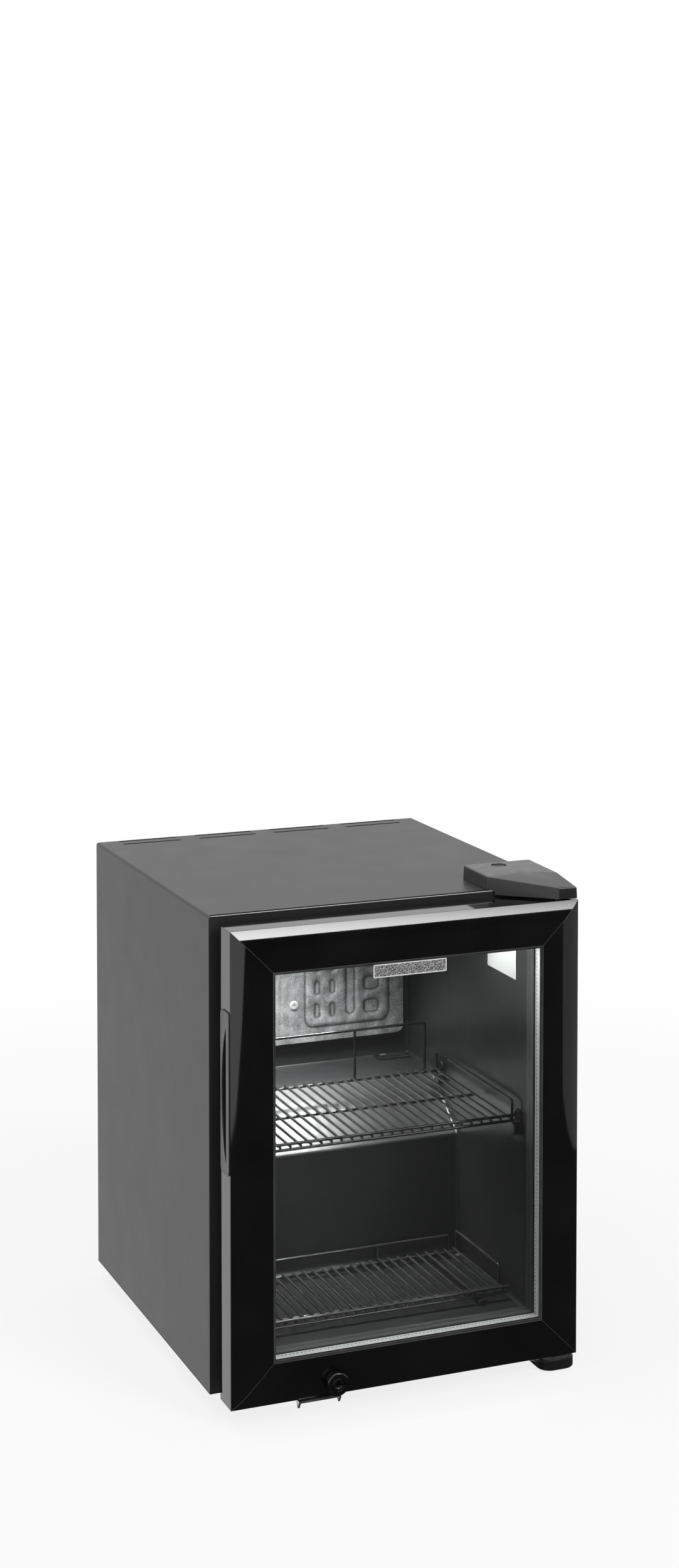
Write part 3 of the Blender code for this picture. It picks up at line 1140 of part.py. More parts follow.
def main():
    for old in list(bpy.data.objects):
        bpy.data.objects.remove(old, do_unlink=True)

    paint = material("black powder coat", (0.020, 0.020, 0.021), 0.45)
    galvanised = material("galvanised sheet", (0.42, 0.43, 0.44), 0.4, 1.0)
    foam = material("insulating foam", (0.74, 0.66, 0.42), 0.9)
    black = material("black moulded plastic", (0.016, 0.016, 0.017), 0.35)
    gloss = material("gloss black extrusion", (0.008, 0.008, 0.009), 0.12)
    glass = material("clear glass", (0.93, 0.96, 0.95), 0.02, 0.0, 0.25)
    aluminium = material("bare aluminium", (0.66, 0.67, 0.68), 0.32, 1.0)
    rubber = material("black rubber", (0.018, 0.018, 0.018), 0.7)
    wire = material("black coated wire", (0.014, 0.014, 0.014), 0.3)
    steel = material("zinc plated steel", (0.55, 0.55, 0.56), 0.35, 1.0)
    enamel = material("compressor enamel", (0.012, 0.012, 0.012), 0.3)
    copper = material("copper tube", (0.62, 0.30, 0.18), 0.35, 1.0)
    diffuser = material("frosted lamp cover", (0.9, 0.92, 0.95), 0.5)
    chrome = material("nickel plate", (0.70, 0.70, 0.71), 0.18, 1.0)

    frame = empty("cooler_frame", (0, -MID_DEPTH, FOOT_HEIGHT))
    pivots = {}
    for name, place, parent in (("cabinet", (0, 0, 0), None), ("door", (PIN_X, PIN_Y, 0), None),
                                ("lock", (LOCK_X, 0, LOCK_HEIGHT), "door"),
                                ("knob", (KNOB_X, KNOB_Y, KNOB_HEIGHT), None)):
        carrier = pivots[parent] if parent else frame
        shift = Vector(carrier["place"]) if parent else Vector((0, 0, 0))
        pivots[name] = empty(f"{name}_pivot", Vector(place) - shift, carrier)
        pivots[name]["place"] = place
    cabinet, door, lock, knob = (pivots[name] for name in ("cabinet", "door", "lock", "knob"))

    make_outer_wrap(paint, cabinet)
    make_base_pan(paint, cabinet)
    make_rear_cover(paint, cabinet)
    make_insulation(foam, cabinet)
    make_partition(galvanised, cabinet)
    make_liner(black, cabinet)
    make_evaporator(aluminium, steel, cabinet)
    make_lamp(black, diffuser, cabinet)
    make_sensor_clip(black, cabinet)

    upper = (UPPER_SHELF_FRONT, UPPER_SHELF_BACK, UPPER_SHELF_HEIGHT)
    lower = (LOWER_SHELF_FRONT, LOWER_SHELF_BACK, LOWER_SHELF_HEIGHT)
    make_shelf("upper_shelf", *upper, wire, cabinet)
    make_shelf("lower_shelf", *lower, wire, cabinet)
    make_back_stop("upper_shelf_back_stop", *upper[1:], UPPER_BACK_STOP_HEIGHT, UPPER_BACK_STOP_INSET,
                   UPPER_POST_SPAN, wire, cabinet)
    make_back_stop("lower_shelf_back_stop", *lower[1:], LOWER_BACK_STOP_HEIGHT, LOWER_BACK_STOP_INSET,
                   LOWER_POST_SPAN, wire, cabinet)
    for word, sign in (("left", -1), ("right", 1)):
        make_side_stop(f"upper_shelf_stop_{word}", sign, *upper, UPPER_SIDE_STOP_HEIGHT, wire, cabinet)
        make_side_stop(f"lower_shelf_stop_{word}", sign, LOWER_SHELF_FRONT + LOWER_SIDE_STOP_SETBACK,
                       *lower[1:], LOWER_SIDE_STOP_HEIGHT, wire, cabinet)
        make_shelf_clip(f"shelf_clip_front_{word}", sign, UPPER_SHELF_FRONT, black, cabinet)
        make_shelf_clip(f"shelf_clip_back_{word}", sign, UPPER_SHELF_BACK, black, cabinet)

    crown = make_compressor(enamel, galvanised, black, cabinet)
    make_pipework(copper, copper, cabinet, crown)
    make_thermostat(black, galvanised, cabinet, knob)
    make_gland(rubber, cabinet)
    make_feet(rubber, cabinet)
    make_upper_hinge(steel, black, cabinet)
    make_lower_hinge(steel, black, cabinet)
    make_keep(steel, cabinet)

    make_frame(gloss, door)
    make_glass(glass, aluminium, rubber, black, door)
    make_gasket(rubber, door)
    make_handle(black, door)
    make_bushes(black, door)
    make_lock(chrome, black, door, lock)


main()
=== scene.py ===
import math

import bmesh
import bpy
import numpy as np
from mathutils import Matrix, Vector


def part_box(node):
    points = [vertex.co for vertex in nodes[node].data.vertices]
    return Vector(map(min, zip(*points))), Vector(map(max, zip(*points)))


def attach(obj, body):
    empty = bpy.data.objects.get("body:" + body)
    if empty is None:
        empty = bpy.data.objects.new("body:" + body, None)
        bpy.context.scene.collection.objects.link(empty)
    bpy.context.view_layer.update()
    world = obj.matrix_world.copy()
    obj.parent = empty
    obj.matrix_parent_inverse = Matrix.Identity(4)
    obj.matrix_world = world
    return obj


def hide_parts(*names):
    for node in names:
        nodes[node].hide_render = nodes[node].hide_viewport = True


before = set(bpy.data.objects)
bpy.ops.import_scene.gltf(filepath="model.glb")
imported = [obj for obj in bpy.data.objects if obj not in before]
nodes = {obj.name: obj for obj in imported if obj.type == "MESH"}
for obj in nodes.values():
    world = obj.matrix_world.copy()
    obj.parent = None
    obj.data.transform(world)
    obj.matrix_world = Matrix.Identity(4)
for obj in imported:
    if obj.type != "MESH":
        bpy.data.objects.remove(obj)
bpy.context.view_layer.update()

# places are in mm: x from the middle, y back from the cabinet's front edge, z up from its underside
mm = 0.001
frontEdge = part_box("outer_wrap")[0].y
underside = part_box("base_pan")[0].z
frameOrigin = np.array([0.0, frontEdge, underside])


def toRow(points):
    return np.asarray(points, float) * mm + frameOrigin


def boxOf(node):  # a CAD node's two corners, in the same mm places
    low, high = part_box(node)
    return (np.array(low) - frameOrigin) / mm, (np.array(high) - frameOrigin) / mm


def stack3(x, y, z):
    return np.stack(np.broadcast_arrays(x, y, z), -1).astype(float)


# outlines, paths and grids

def arcCorners(corners, radii, steps, closed=True):
    # each corner gives way to an arc of its radius that touches both of its sides:
    # the arc's middle lies one radius to the inner side of the point where the arc starts
    corners = np.asarray(corners, float)
    radii = np.broadcast_to(np.asarray(radii, float), len(corners))[:, None]
    into = corners - np.roll(corners, 1, 0)
    into /= np.maximum(np.linalg.norm(into, axis=1, keepdims=True), 1e-9)
    out = np.roll(into, -1, 0)
    turn = np.arctan2(into[:, 0] * out[:, 1] - into[:, 1] * out[:, 0], (into * out).sum(1))[:, None]
    start = corners - into * radii * np.tan(abs(turn) / 2)
    middle = start + np.sign(turn) * radii * np.stack([-into[:, 1], into[:, 0]], 1)
    angle = turn * np.linspace(0, 1, steps + 1)[None]
    u, v = (start - middle).T[:, :, None]
    x = middle[:, :1] + u * np.cos(angle) - v * np.sin(angle)
    y = middle[:, 1:] + u * np.sin(angle) + v * np.cos(angle)
    points = np.stack([x, y], -1)
    if closed:
        return points.reshape(-1, 2)
    return np.concatenate([corners[:1], points[1:-1].reshape(-1, 2), corners[-1:]])


def offsetCorners(corners, amount):
    # moves every side of an anticlockwise outline outwards by the amount, and meets them again
    corners = np.asarray(corners, float)
    into = corners - np.roll(corners, 1, 0)
    into /= np.linalg.norm(into, axis=1, keepdims=True)
    out = np.roll(into, -1, 0)
    n0 = np.stack([into[:, 1], -into[:, 0]], 1)
    n1 = np.stack([out[:, 1], -out[:, 0]], 1)
    return corners + (n0 + n1) * (amount / (1 + (n0 * n1).sum(1, keepdims=True)))


def rectangle(x0, x1, y0, y1):
    return np.array([(x0, y0), (x1, y0), (x1, y1), (x0, y1)], float)


def insetRectangle(x0, x1, y0, y1, inset):
    return rectangle(x0 + inset, x1 - inset, y0 + inset, y1 - inset)


def smoothStep(low, high, value):  # 0 below low, 1 above high, an S between them
    t = np.clip((value - low) / (high - low), 0, 1)
    return t * t * (3 - 2 * t)


def roundBoxDistance(x, z, cx, cz, halfX, halfZ, radius):
    # how far a point lies outside a rectangle with round corners; negative inside
    qx = abs(x - cx) - halfX + radius
    qz = abs(z - cz) - halfZ + radius
    return np.hypot(np.maximum(qx, 0), np.maximum(qz, 0)) + np.minimum(np.maximum(qx, qz), 0) - radius


def gridPatch(points, wrapRows=False, wrapCols=True, capFirst=False, capLast=False):
    # a rows x columns grid of points, each joined to the next row and the next column
    rows, cols = points.shape[:2]
    r = np.arange(rows if wrapRows else rows - 1)[:, None]
    c = np.arange(cols if wrapCols else cols - 1)[None]
    r1, c1 = (r + 1) % rows, (c + 1) % cols
    quads = np.stack([r * cols + c, r * cols + c1, r1 * cols + c1, r1 * cols + c], -1).reshape(-1, 4)
    caps = [list(range(cols))[::-1]] * capFirst
    caps = caps + [list(range((rows - 1) * cols, rows * cols))] * capLast
    return {"points": points.reshape(-1, 3), "quads": quads, "caps": caps}


def closedPatch(points):  # rings with both ends closed
    return gridPatch(points, capFirst=True, capLast=True)


def repeated(patch, shifts):  # the same patch at each shift
    count = len(patch["points"])
    shifts = np.asarray(shifts, float)
    places = np.arange(len(shifts)) * count
    return {
        "points": (patch["points"][None] + shifts[:, None]).reshape(-1, 3),
        "quads": (patch["quads"][None] + places[:, None, None]).reshape(-1, 4),
        "caps": [[i + place for i in cap] for place in places.tolist() for cap in patch["caps"]],
    }


def alongAxis(u, v, w, axis):  # w runs along the axis, u and v across it
    order = {"x": (w, u, v), "y": (u, w, v), "z": (u, v, w)}[axis]
    return stack3(*order)


def ringGrid(rings, axis):  # a row for each outline, at its height along the axis
    return np.stack([alongAxis(*line.T, height, axis) for line, height in rings])


poleRadius = 0.05  # where a lathe's outline ends on its axis


def lathePatch(profile, centre, axis, sides=64):
    # spins (radius, height) points about an axis; the first and last ring are closed
    radius, height = np.asarray(profile, float).T
    turn = np.linspace(0, 2 * np.pi, sides, endpoint=False)
    u = radius[:, None] * np.cos(turn)
    v = radius[:, None] * np.sin(turn)
    points = alongAxis(u, v, height[:, None], axis) + np.asarray(centre, float)
    return closedPatch(points)


def prismPatch(outline, axis, low, high):
    outline = np.asarray(outline, float)
    ends = np.array([low, high], float)[:, None]
    return closedPatch(alongAxis(outline[:, 0], outline[:, 1], ends, axis))


def blockPatch(x0, x1, y0, y1, z0, z1):
    return prismPatch(rectangle(x0, x1, y0, y1), "z", z0, z1)


def wirePatch(path, radius, planeNormal, sides=12):
    # a round wire along a flat path: a circle in the plane of the path's side and the plane's normal,
    # with a dome at each end where the circle shrinks as the cosine while it runs on as the sine
    path = np.asarray(path, float)
    normal = np.asarray(planeNormal, float)
    dome = np.radians([80, 55, 28])
    first, last = path[0] - path[1], path[-1] - path[-2]
    first /= np.linalg.norm(first)
    last /= np.linalg.norm(last)
    lead = path[0] + first * radius * np.sin(dome)[:, None]
    tail = (path[-1] + last * radius * np.sin(dome)[:, None])[::-1]
    shrink = np.cos(dome)
    size = radius * np.concatenate([shrink, np.ones(len(path)), shrink[::-1]])
    line = np.concatenate([lead, path, tail])
    heading = np.gradient(line, axis=0)
    heading[:3], heading[-3:] = -first, last
    heading /= np.linalg.norm(heading, axis=1, keepdims=True)
    side = np.cross(normal, heading)
    turn = np.linspace(0, 2 * np.pi, sides, endpoint=False)[None, :, None]
    ring = np.cos(turn) * side[:, None] + np.sin(turn) * normal
    return closedPatch(line[:, None] + ring * size[:, None, None])


# meshes and pieces

def addToScene(name, data):
    made = bpy.data.objects.new(name, data)
    bpy.context.scene.collection.objects.link(made)
    return made


def buildMesh(name, patches):
    starts = np.cumsum([0] + [len(p["points"]) for p in patches[:-1]]).tolist()
    points = toRow(np.concatenate([p["points"] for p in patches]))
    quads = np.concatenate([p["quads"] + s for p, s in zip(patches, starts)])
    caps = [[i + s for i in cap] for p, s in zip(patches, starts) for cap in p["caps"]]
    mesh = bpy.data.meshes.new(name)
    mesh.from_pydata(points.tolist(), [], quads.tolist() + caps)
    work = bmesh.new()
    work.from_mesh(mesh)
    bmesh.ops.remove_doubles(work, verts=work.verts, dist=1e-7)
    bmesh.ops.recalc_face_normals(work, faces=work.faces)
    work.to_mesh(mesh)
    work.free()
    return mesh


def cutAway(obj, patches):  # takes closed shapes out of a piece, and keeps the result as its mesh
    cutter = addToScene(obj.name + "_cutter", buildMesh(obj.name + "_cutter", patches))
    boolean = obj.modifiers.new("cut", "BOOLEAN")
    boolean.operation = "DIFFERENCE"
    boolean.object = cutter
    keepShape(obj)
    bpy.data.objects.remove(cutter)


def keepShape(obj):  # the modifiers' result becomes the mesh
    shaped = obj.evaluated_get(bpy.context.evaluated_depsgraph_get())
    mesh = bpy.data.meshes.new_from_object(shaped)
    mesh.name = obj.name
    obj.modifiers.clear()
    obj.data = mesh


def setFinish(obj, finish):
    obj.data.materials.clear()
    obj.data.materials.append(finish)


def makePiece(name, patches, finish, body, replaced=(), sharp=35, cuts=(), wall=0):
    obj = addToScene(name, buildMesh(name, patches))
    if wall:
        thick = obj.modifiers.new("wall", "SOLIDIFY")
        thick.thickness = wall * mm
        thick.offset = -1  # the wall grows inwards
        thick.use_quality_normals = True
        keepShape(obj)
    for cut in cuts:
        cutAway(obj, cut)
    obj.data.shade_smooth()
    obj.data.set_sharp_from_angle(angle=math.radians(sharp))
    even = obj.modifiers.new("even shading", "WEIGHTED_NORMAL")
    even.keep_sharp = True
    setFinish(obj, finish)
    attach(obj, body)
    if replaced:
        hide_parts(*replaced)
    return obj


def dress(finish, *names):  # a CAD node whose shape is right only gets its finish
    for name in names:
        setFinish(nodes[name], finish)


# finishes

def newFinish(name):
    made = bpy.data.materials.new(name)
    made.use_nodes = True
    tree = made.node_tree
    return made, tree, tree.nodes["Principled BSDF"]


def feed(tree, node, inputs):  # links what is a socket and sets what is a value
    for socket, value in inputs.items():
        if isinstance(value, bpy.types.NodeSocket):
            tree.links.new(value, node.inputs[socket])
        else:
            node.inputs[socket].default_value = value


def addNode(tree, kind, inputs=None, **settings):
    node = tree.nodes.new(kind)
    for key, value in settings.items():
        setattr(node, key, value)
    feed(tree, node, inputs or {})
    return node


def mathOn(tree, operation, *values):
    return addNode(tree, "ShaderNodeMath", dict(enumerate(values)), operation=operation).outputs["Value"]


def objectPlace(tree):
    return addNode(tree, "ShaderNodeTexCoord").outputs["Object"]


def noiseOn(tree, place, scale, detail=3.0, rough=0.5):
    values = {"Vector": place, "Scale": scale, "Detail": detail, "Roughness": rough}
    return addNode(tree, "ShaderNodeTexNoise", values).outputs["Fac"]


def rampOn(tree, factor, stops):
    node = addNode(tree, "ShaderNodeValToRGB", {"Fac": factor})
    elements = node.color_ramp.elements
    while len(elements) < len(stops):
        elements.new(1.0)
    for element, (at, colour) in zip(elements, stops):
        element.position = at
        element.color = (*colour, 1)
    return node.outputs["Color"]


def rangeOn(tree, factor, low, high, fromLow=0.3, fromHigh=0.7):
    values = {"Value": factor, "From Min": fromLow, "From Max": fromHigh, "To Min": low, "To Max": high}
    return addNode(tree, "ShaderNodeMapRange", values).outputs["Result"]


def bumpOn(tree, shader, height, strength, distance):
    values = {"Height": height, "Strength": strength, "Distance": distance * mm}
    feed(tree, shader, {"Normal": addNode(tree, "ShaderNodeBump", values).outputs["Normal"]})


def glowOn(tree, colour, strength=1.0):
    return addNode(tree, "ShaderNodeEmission", {"Color": colour, "Strength": strength}).outputs["Emission"]


def blendOn(tree, share, first, second):
    return addNode(tree, "ShaderNodeMixShader", {0: share, 1: first, 2: second}).outputs["Shader"]


def showSurface(tree, shader):
    feed(tree, tree.nodes["Material Output"], {"Surface": shader})


def grainyFinish(name, look):
    # two colours mixed by a broad noise, roughness that follows a patchy one, and a fine grain as bump
    made, tree, shader = newFinish(name)
    place = objectPlace(tree)
    broad = noiseOn(tree, place, look["broad"], 4)
    worn = noiseOn(tree, place, look["patch"], 5, 0.6)
    dark, light = np.array([look["dark"], look["light"]]) / 100
    colours = rampOn(tree, broad, [(0.35, dark), (0.65, light)])
    feed(tree, shader, {"Base Color": colours, "Roughness": rangeOn(tree, worn, *look["rough"]),
                        "Metallic": look.get("metal", 0.0), "Specular IOR Level": look.get("specular", 0.5)})
    bumpOn(tree, shader, noiseOn(tree, place, look["grain"], 2), look["bump"], look["depth"])
    return made


# one row for each grainy finish: colours are in per cent, broad, patch and grain are scales of noise,
# depth is in mm, and a row may leave out its end
grainColumns = ("dark", "light", "broad", "patch", "rough", "grain", "bump", "depth", "specular", "metal")
grainTable = [
    ("cabinet powder coat", (1.7, 1.7, 1.8), (2, 2, 2.1), 5, 25, (0.38, 0.41), 900, 0.03, 0.06, 0.34),
    ("gloss black door frame", (0.3, 0.3, 0.33), (0.5, 0.5, 0.53), 14, 30, (0.05, 0.08), 420, 0.02, 0.05,
     0.62),
    ("black moulding", (0.9, 0.9, 0.95), (1.3, 1.3, 1.35), 20, 90, (0.28, 0.36), 1300, 0.05, 0.06, 0.6),
    ("black formed liner", (2.2, 2.2, 2.25), (2.9, 2.9, 2.95), 6, 40, (0.28, 0.36), 70, 0.015, 0.3, 0.6),
    ("black coated wire", (0.7, 0.7, 0.7), (1.2, 1.2, 1.2), 60, 120, (0.1, 0.16), 600, 0.03, 0.1, 0.9),
    # painted light: a lighter copy of the coated wire for the lower shelf
    ("coated wire painted lighter", (4.3, 4.3, 4.3), (5.5, 5.5, 5.5), 60, 120, (0.1, 0.16), 600, 0.03, 0.1, 0.9),
    ("black rubber", (1.2, 1.2, 1.2), (2.4, 2.4, 2.4), 40, 200, (0.55, 0.75), 2200, 0.2, 0.08),
    # painted shade: the dark strip where the top sheet meets the front return
    ("painted shade strip", (1.2, 1.2, 1.2), (2.4, 2.4, 2.4), 40, 200, (0.55, 0.75), 2200, 0.2, 0.08, 0),
    # painted highlight: the pale lines on the frame's lip edge and in its mitres
    ("painted edge highlight", (5.5, 5.5, 5.6), (7.5, 7.5, 7.6), 20, 60, (0.3, 0.42), 700, 0.04, 0.05),
    # painted shade: the dark strip in the spacer bar's flute
    ("painted flute shade", (13, 13, 13.2), (18, 18, 18.2), 20, 60, (0.3, 0.42), 700, 0.04, 0.05),
    # painted highlight: the pale bead on the cabinet's front edge
    ("painted highlight edge", (44, 44, 44.2), (52, 52, 52.2), 20, 60, (0.3, 0.42), 700, 0.04, 0.05),
    ("dull zinc screw", (52, 52, 53), (72, 72, 72), 120, 300, (0.42, 0.56), 1500, 0.08, 0.06, 0.5, 0.55),
    ("pump enamel", (1, 1, 1.1), (1.6, 1.6, 1.7), 18, 50, (0.2, 0.34), 300, 0.06, 0.15),
    ("zinc plate", (50, 50, 51), (64, 64, 65), 45, 160, (0.26, 0.4), 900, 0.05, 0.05, 0.5, 1),
    ("nickel plate", (62, 62, 62), (74, 74, 73), 60, 200, (0.1, 0.2), 1200, 0.03, 0.04, 0.5, 1),
    ("bare copper", (45, 20, 11), (70, 36, 22), 35, 90, (0.24, 0.42), 700, 0.06, 0.06, 0.5, 1),
    ("wall foam", (66, 57, 34), (80, 72, 47), 30, 80, (0.85, 0.95), 500, 0.5, 0.5),
    ("blank label film", (86, 86, 85), (91, 91, 90), 60, 60, (0.45, 0.6), 1400, 0.06, 0.03),
    ("bright badge border", (74, 74, 74), (86, 86, 86), 300, 400, (0.34, 0.5), 1200, 0.2, 0.08, 0.5, 0.25),
]
(cabinetPaint, glossFrame, blackMoulding, linerGloss, coatedWire, litWireCopy, blackRubber, paintedShadeStrip,
 paintedEdgeHighlight, fluteShade, paintedHighlightEdge, screwZinc, pumpEnamel, zincPlate, nickelPlate, bareCopper, wallFoam,
 blankLabel, badgeSilver) = [grainyFinish(name, dict(zip(grainColumns, row))) for name, *row in grainTable]


def galvanisedFinish(name):
    # zinc spangle: each cell of a Voronoi pattern has its own grey and its own roughness
    made, tree, shader = newFinish(name)
    place = objectPlace(tree)
    cells = addNode(tree, "ShaderNodeTexVoronoi", {"Vector": place, "Scale": 160.0}).outputs["Color"]
    grey = addNode(tree, "ShaderNodeRGBToBW", {"Color": cells}).outputs["Val"]
    colours = rampOn(tree, grey, [(0.2, (0.34, 0.35, 0.36)), (0.8, (0.52, 0.53, 0.54))])
    feed(tree, shader, {"Base Color": colours, "Roughness": rangeOn(tree, grey, 0.32, 0.5), "Metallic": 1.0})
    bumpOn(tree, shader, noiseOn(tree, place, 300, 3), 0.05, 0.1)
    return made


def evaporatorFinish(name):
    # bare rolled sheet: cloudy oxide patches, a grit of small pale spots, streaks that run down,
    # and painted shade that darkens the creases along the seams, which the plate's seam attribute marks
    made, tree, shader = newFinish(name)
    place = objectPlace(tree)
    clouds = noiseOn(tree, place, 55, 8, 0.68)
    drawn = addNode(tree, "ShaderNodeMapping", {"Vector": place, "Scale": (300.0, 300.0, 22.0)})
    streaks = noiseOn(tree, drawn.outputs["Vector"], 0.6, 4)
    grit = noiseOn(tree, place, 700, 2, 0.6)
    first = addNode(tree, "ShaderNodeMix", {"Factor": 0.16, "A": clouds, "B": streaks}).outputs["Result"]
    mottled = addNode(tree, "ShaderNodeMix", {"Factor": 0.35, "A": first, "B": grit}).outputs["Result"]
    stops = [(0.38, (0.17, 0.17, 0.175)), (0.5, (0.36, 0.36, 0.365)), (0.62, (0.64, 0.64, 0.65))]
    seam = addNode(tree, "ShaderNodeAttribute", attribute_name="seam").outputs["Fac"]
    # painted shade: the colour darkens by up to 80 per cent on the seams
    keep = mathOn(tree, "MULTIPLY_ADD", seam, -0.8, 1.0)
    values = {"Vector": rampOn(tree, mottled, stops), "Scale": keep}
    creaseShaded = addNode(tree, "ShaderNodeVectorMath", values, operation="SCALE").outputs["Vector"]
    feed(tree, shader, {"Base Color": creaseShaded, "Roughness": rangeOn(tree, clouds, 0.36, 0.56),
                        "Metallic": 0.5})
    bumpOn(tree, shader, noiseOn(tree, place, 160, 5, 0.6), 0.16, 0.4)
    return made


def spacerFinish(name):
    # mill-finished bar: fine clouds in a pale grey, only partly mirror-like
    made, tree, shader = newFinish(name)
    place = objectPlace(tree)
    cloud = noiseOn(tree, place, 260, 4)
    colours = rampOn(tree, cloud, [(0.35, (0.57, 0.58, 0.585)), (0.65, (0.67, 0.68, 0.685))])
    feed(tree, shader, {"Base Color": colours, "Roughness": rangeOn(tree, cloud, 0.30, 0.42),
                        "Metallic": 0.12})
    bumpOn(tree, shader, noiseOn(tree, place, 700, 2), 0.04, 0.05)
    return made


def speckledFinish(name):
    # dark silver with a fine dark and light speckle
    made, tree, shader = newFinish(name)
    speck = noiseOn(tree, objectPlace(tree), 900, 2, 0.6)
    stops = [(0.40, (0.10, 0.10, 0.10)), (0.5, (0.40, 0.40, 0.40)), (0.60, (0.85, 0.85, 0.85))]
    feed(tree, shader, {"Base Color": rampOn(tree, speck, stops), "Roughness": rangeOn(tree, speck, 0.5, 0.3),
                        "Metallic": 0.7})
    bumpOn(tree, shader, speck, 0.3, 0.1)
    return made


def glassFinish(name, look):
    # thin pane: clear and faintly tinted, with a mirror film on both faces whose share at an angle t
    # from the face's normal is s + (1 - s) (1 - cos t)^5
    made, tree, shader = newFinish(name)
    tree.nodes.remove(shader)
    smear = noiseOn(tree, objectPlace(tree), 12, 3)
    tint = rampOn(tree, smear, [(0.3, look["tint"]), (0.7, look["clear"])])
    clear = addNode(tree, "ShaderNodeBsdfTransparent", {"Color": tint}).outputs["BSDF"]
    values = {"Color": (1, 1, 1, 1), "Roughness": look["rough"]}
    film = addNode(tree, "ShaderNodeBsdfGlossy", values).outputs["BSDF"]
    facing = addNode(tree, "ShaderNodeLayerWeight", {"Blend": 0.5}).outputs["Facing"]
    rise = mathOn(tree, "POWER", facing, 5)
    share = mathOn(tree, "MULTIPLY_ADD", rise, 1 - look["film"], look["film"])
    showSurface(tree, blendOn(tree, share, clear, film))
    return made


def lampFinish(name, look):
    # frosted cover that glows: a soft noise keeps it from being one even white
    made, tree, shader = newFinish(name)
    cloud = noiseOn(tree, objectPlace(tree), 80, 2)
    colours = rampOn(tree, cloud, [(0.3, look["dim"]), (0.7, look["bright"])])
    feed(tree, shader, {"Base Color": colours, "Emission Color": colours, "Emission Strength": look["glow"],
                        "Roughness": 0.5})
    return made


glassLook = dict(tint=(0.955, 0.965, 0.96), clear=(0.975, 0.98, 0.978), rough=0.004, film=0.034)
coatedLook = dict(glassLook, film=0.09)
lampLook = dict(dim=(0.90, 0.94, 1.0), bright=(1.0, 1.0, 1.0), glow=12.0)

zincSpangle = galvanisedFinish("galvanised sheet")
coldPlate = evaporatorFinish("bare cold plate")
spacerBar = spacerFinish("perforated spacer bar")
badgeSpeckle = speckledFinish("speckled silver field")
doorGlass = glassFinish("door glass", glassLook)
coatedGlass = glassFinish("coated rear glass", coatedLook)
lampGlow = lampFinish("frosted lamp cover", lampLook)
print("finishes ready:", len(bpy.data.materials))


# studio: camera, pale floor, soft lamps, white surroundings

white = (1, 1, 1, 1)
cameraLook = dict(place=(-0.9581, -2.3966, 1.0397), tilt=87.192, turn=-22.011, lens=57.03, rise=-0.2059)
floorLook = dict(reach=14.0, clearFrom=0.55, clearTo=1.5, keepShadow=0.18)
worldLook = dict(powers=(0.35, 1.0))
lampLayout = [
    dict(name="overheadSoftbox", place=(-0.25, 0.1, 2.1), aim=(0, 0, 0.3), size=(1.5, 1.3), power=14),
    dict(name="leftSoftbox", place=(-2.3, 0.3, 0.9), aim=(0, 0, 0.25), size=(1.4, 1.6), power=13),
    dict(name="ceilingLampLight", place=(-0.01, 0.024, 0.449), aim=(-0.01, 0.0241, 0.2), size=(0.20, 0.065),
         power=1.75, spread=84),
    dict(name="coldPlateLight", place=(-0.083, 0.08, 0.445), aim=(-0.066, 0.145, 0.335), size=(0.06, 0.03),
         power=0.84, spread=110, mirrored=False),
    dict(name="rightWallLight", place=(0.06, -0.10, 0.43), aim=(0.158, -0.085, 0.405), size=(0.03, 0.03),
         power=0.028, spread=70, mirrored=False),
    dict(name="spacerLight", place=(0.05, -0.12, 0.44), aim=(0.143, -0.198, 0.425), size=(0.03, 0.03),
         power=0.13, spread=96, mirrored=False),
    dict(name="stepLight", place=(-0.02, -0.17, 0.15), aim=(-0.02, 0.02, 0.15), size=(0.24, 0.08),
         power=0.06, spread=80, mirrored=False),
    dict(name="frontFill", place=(-1.3, -2.2, 0.8), aim=(0, -0.1, 0.25), size=(0.8, 0.8),
         power=9, mirrored=False),
]
keyLook = dict(x=(0.70, 2.05), y=-2.72, z=(1.62, 3.1), left=17.0, right=5.0)
floorCards = [
    dict(name="blackFloorCard", tone=0.035, lift=0.002,
         outline=[(0.05, -2.72), (-0.29, -2.04), (-0.39, -1.82), (-0.45, -1.62), (-0.54, -1.43),
                  (-0.60, -1.25), (-0.64, -1.07), (-0.74, -0.85), (-0.76, -0.20), (0.87, -0.15),
                  (0.87, -0.27), (0.82, -0.55), (0.75, -0.75), (0.63, -1.03), (0.69, -1.17),
                  (0.81, -1.41), (1.10, -1.95), (1.60, -2.72)]),
    dict(name="greyFloorCard", tone=0.42, lift=0.001,
         outline=[(0.60, -2.72), (0.60, -0.12), (3.2, -0.12), (3.2, -2.72)]),
]
wallCard = dict(name="blackWallCard", tone=0.02, x=(0.15, 2.5), y=-2.71, z=(0.0, 1.6))


def studioCamera(look):
    lens = bpy.data.cameras.new("studioCamera")
    lens.lens, lens.sensor_width, lens.shift_y = look["lens"], 36, look["rise"]
    camera = addToScene("studioCamera", lens)
    camera.location = look["place"]
    camera.rotation_euler = (math.radians(look["tilt"]), 0, math.radians(look["turn"]))
    bpy.context.scene.camera = camera


def aimLamp(name, place, aim, size, power, spread=180, mirrored=True):
    data = bpy.data.lights.new(name, "AREA")
    data.shape = "RECTANGLE"
    data.size, data.size_y = size
    data.energy, data.spread = power, math.radians(spread)
    away = np.subtract(place, aim)
    away /= np.linalg.norm(away)
    lamp = addToScene(name, data)
    lamp.location = place
    lamp.rotation_euler = (math.acos(away[2]), 0, math.atan2(away[1], away[0]) + math.pi / 2)
    lamp.visible_camera, lamp.visible_glossy = False, mirrored


def mirrorRays(tree):  # 1 where a mirror or glass looks
    rays = addNode(tree, "ShaderNodeLightPath").outputs
    return mathOn(tree, "MAXIMUM", rays["Is Glossy Ray"], rays["Is Transmission Ray"])


def eyeRays(tree):
    return addNode(tree, "ShaderNodeLightPath").outputs["Is Camera Ray"]


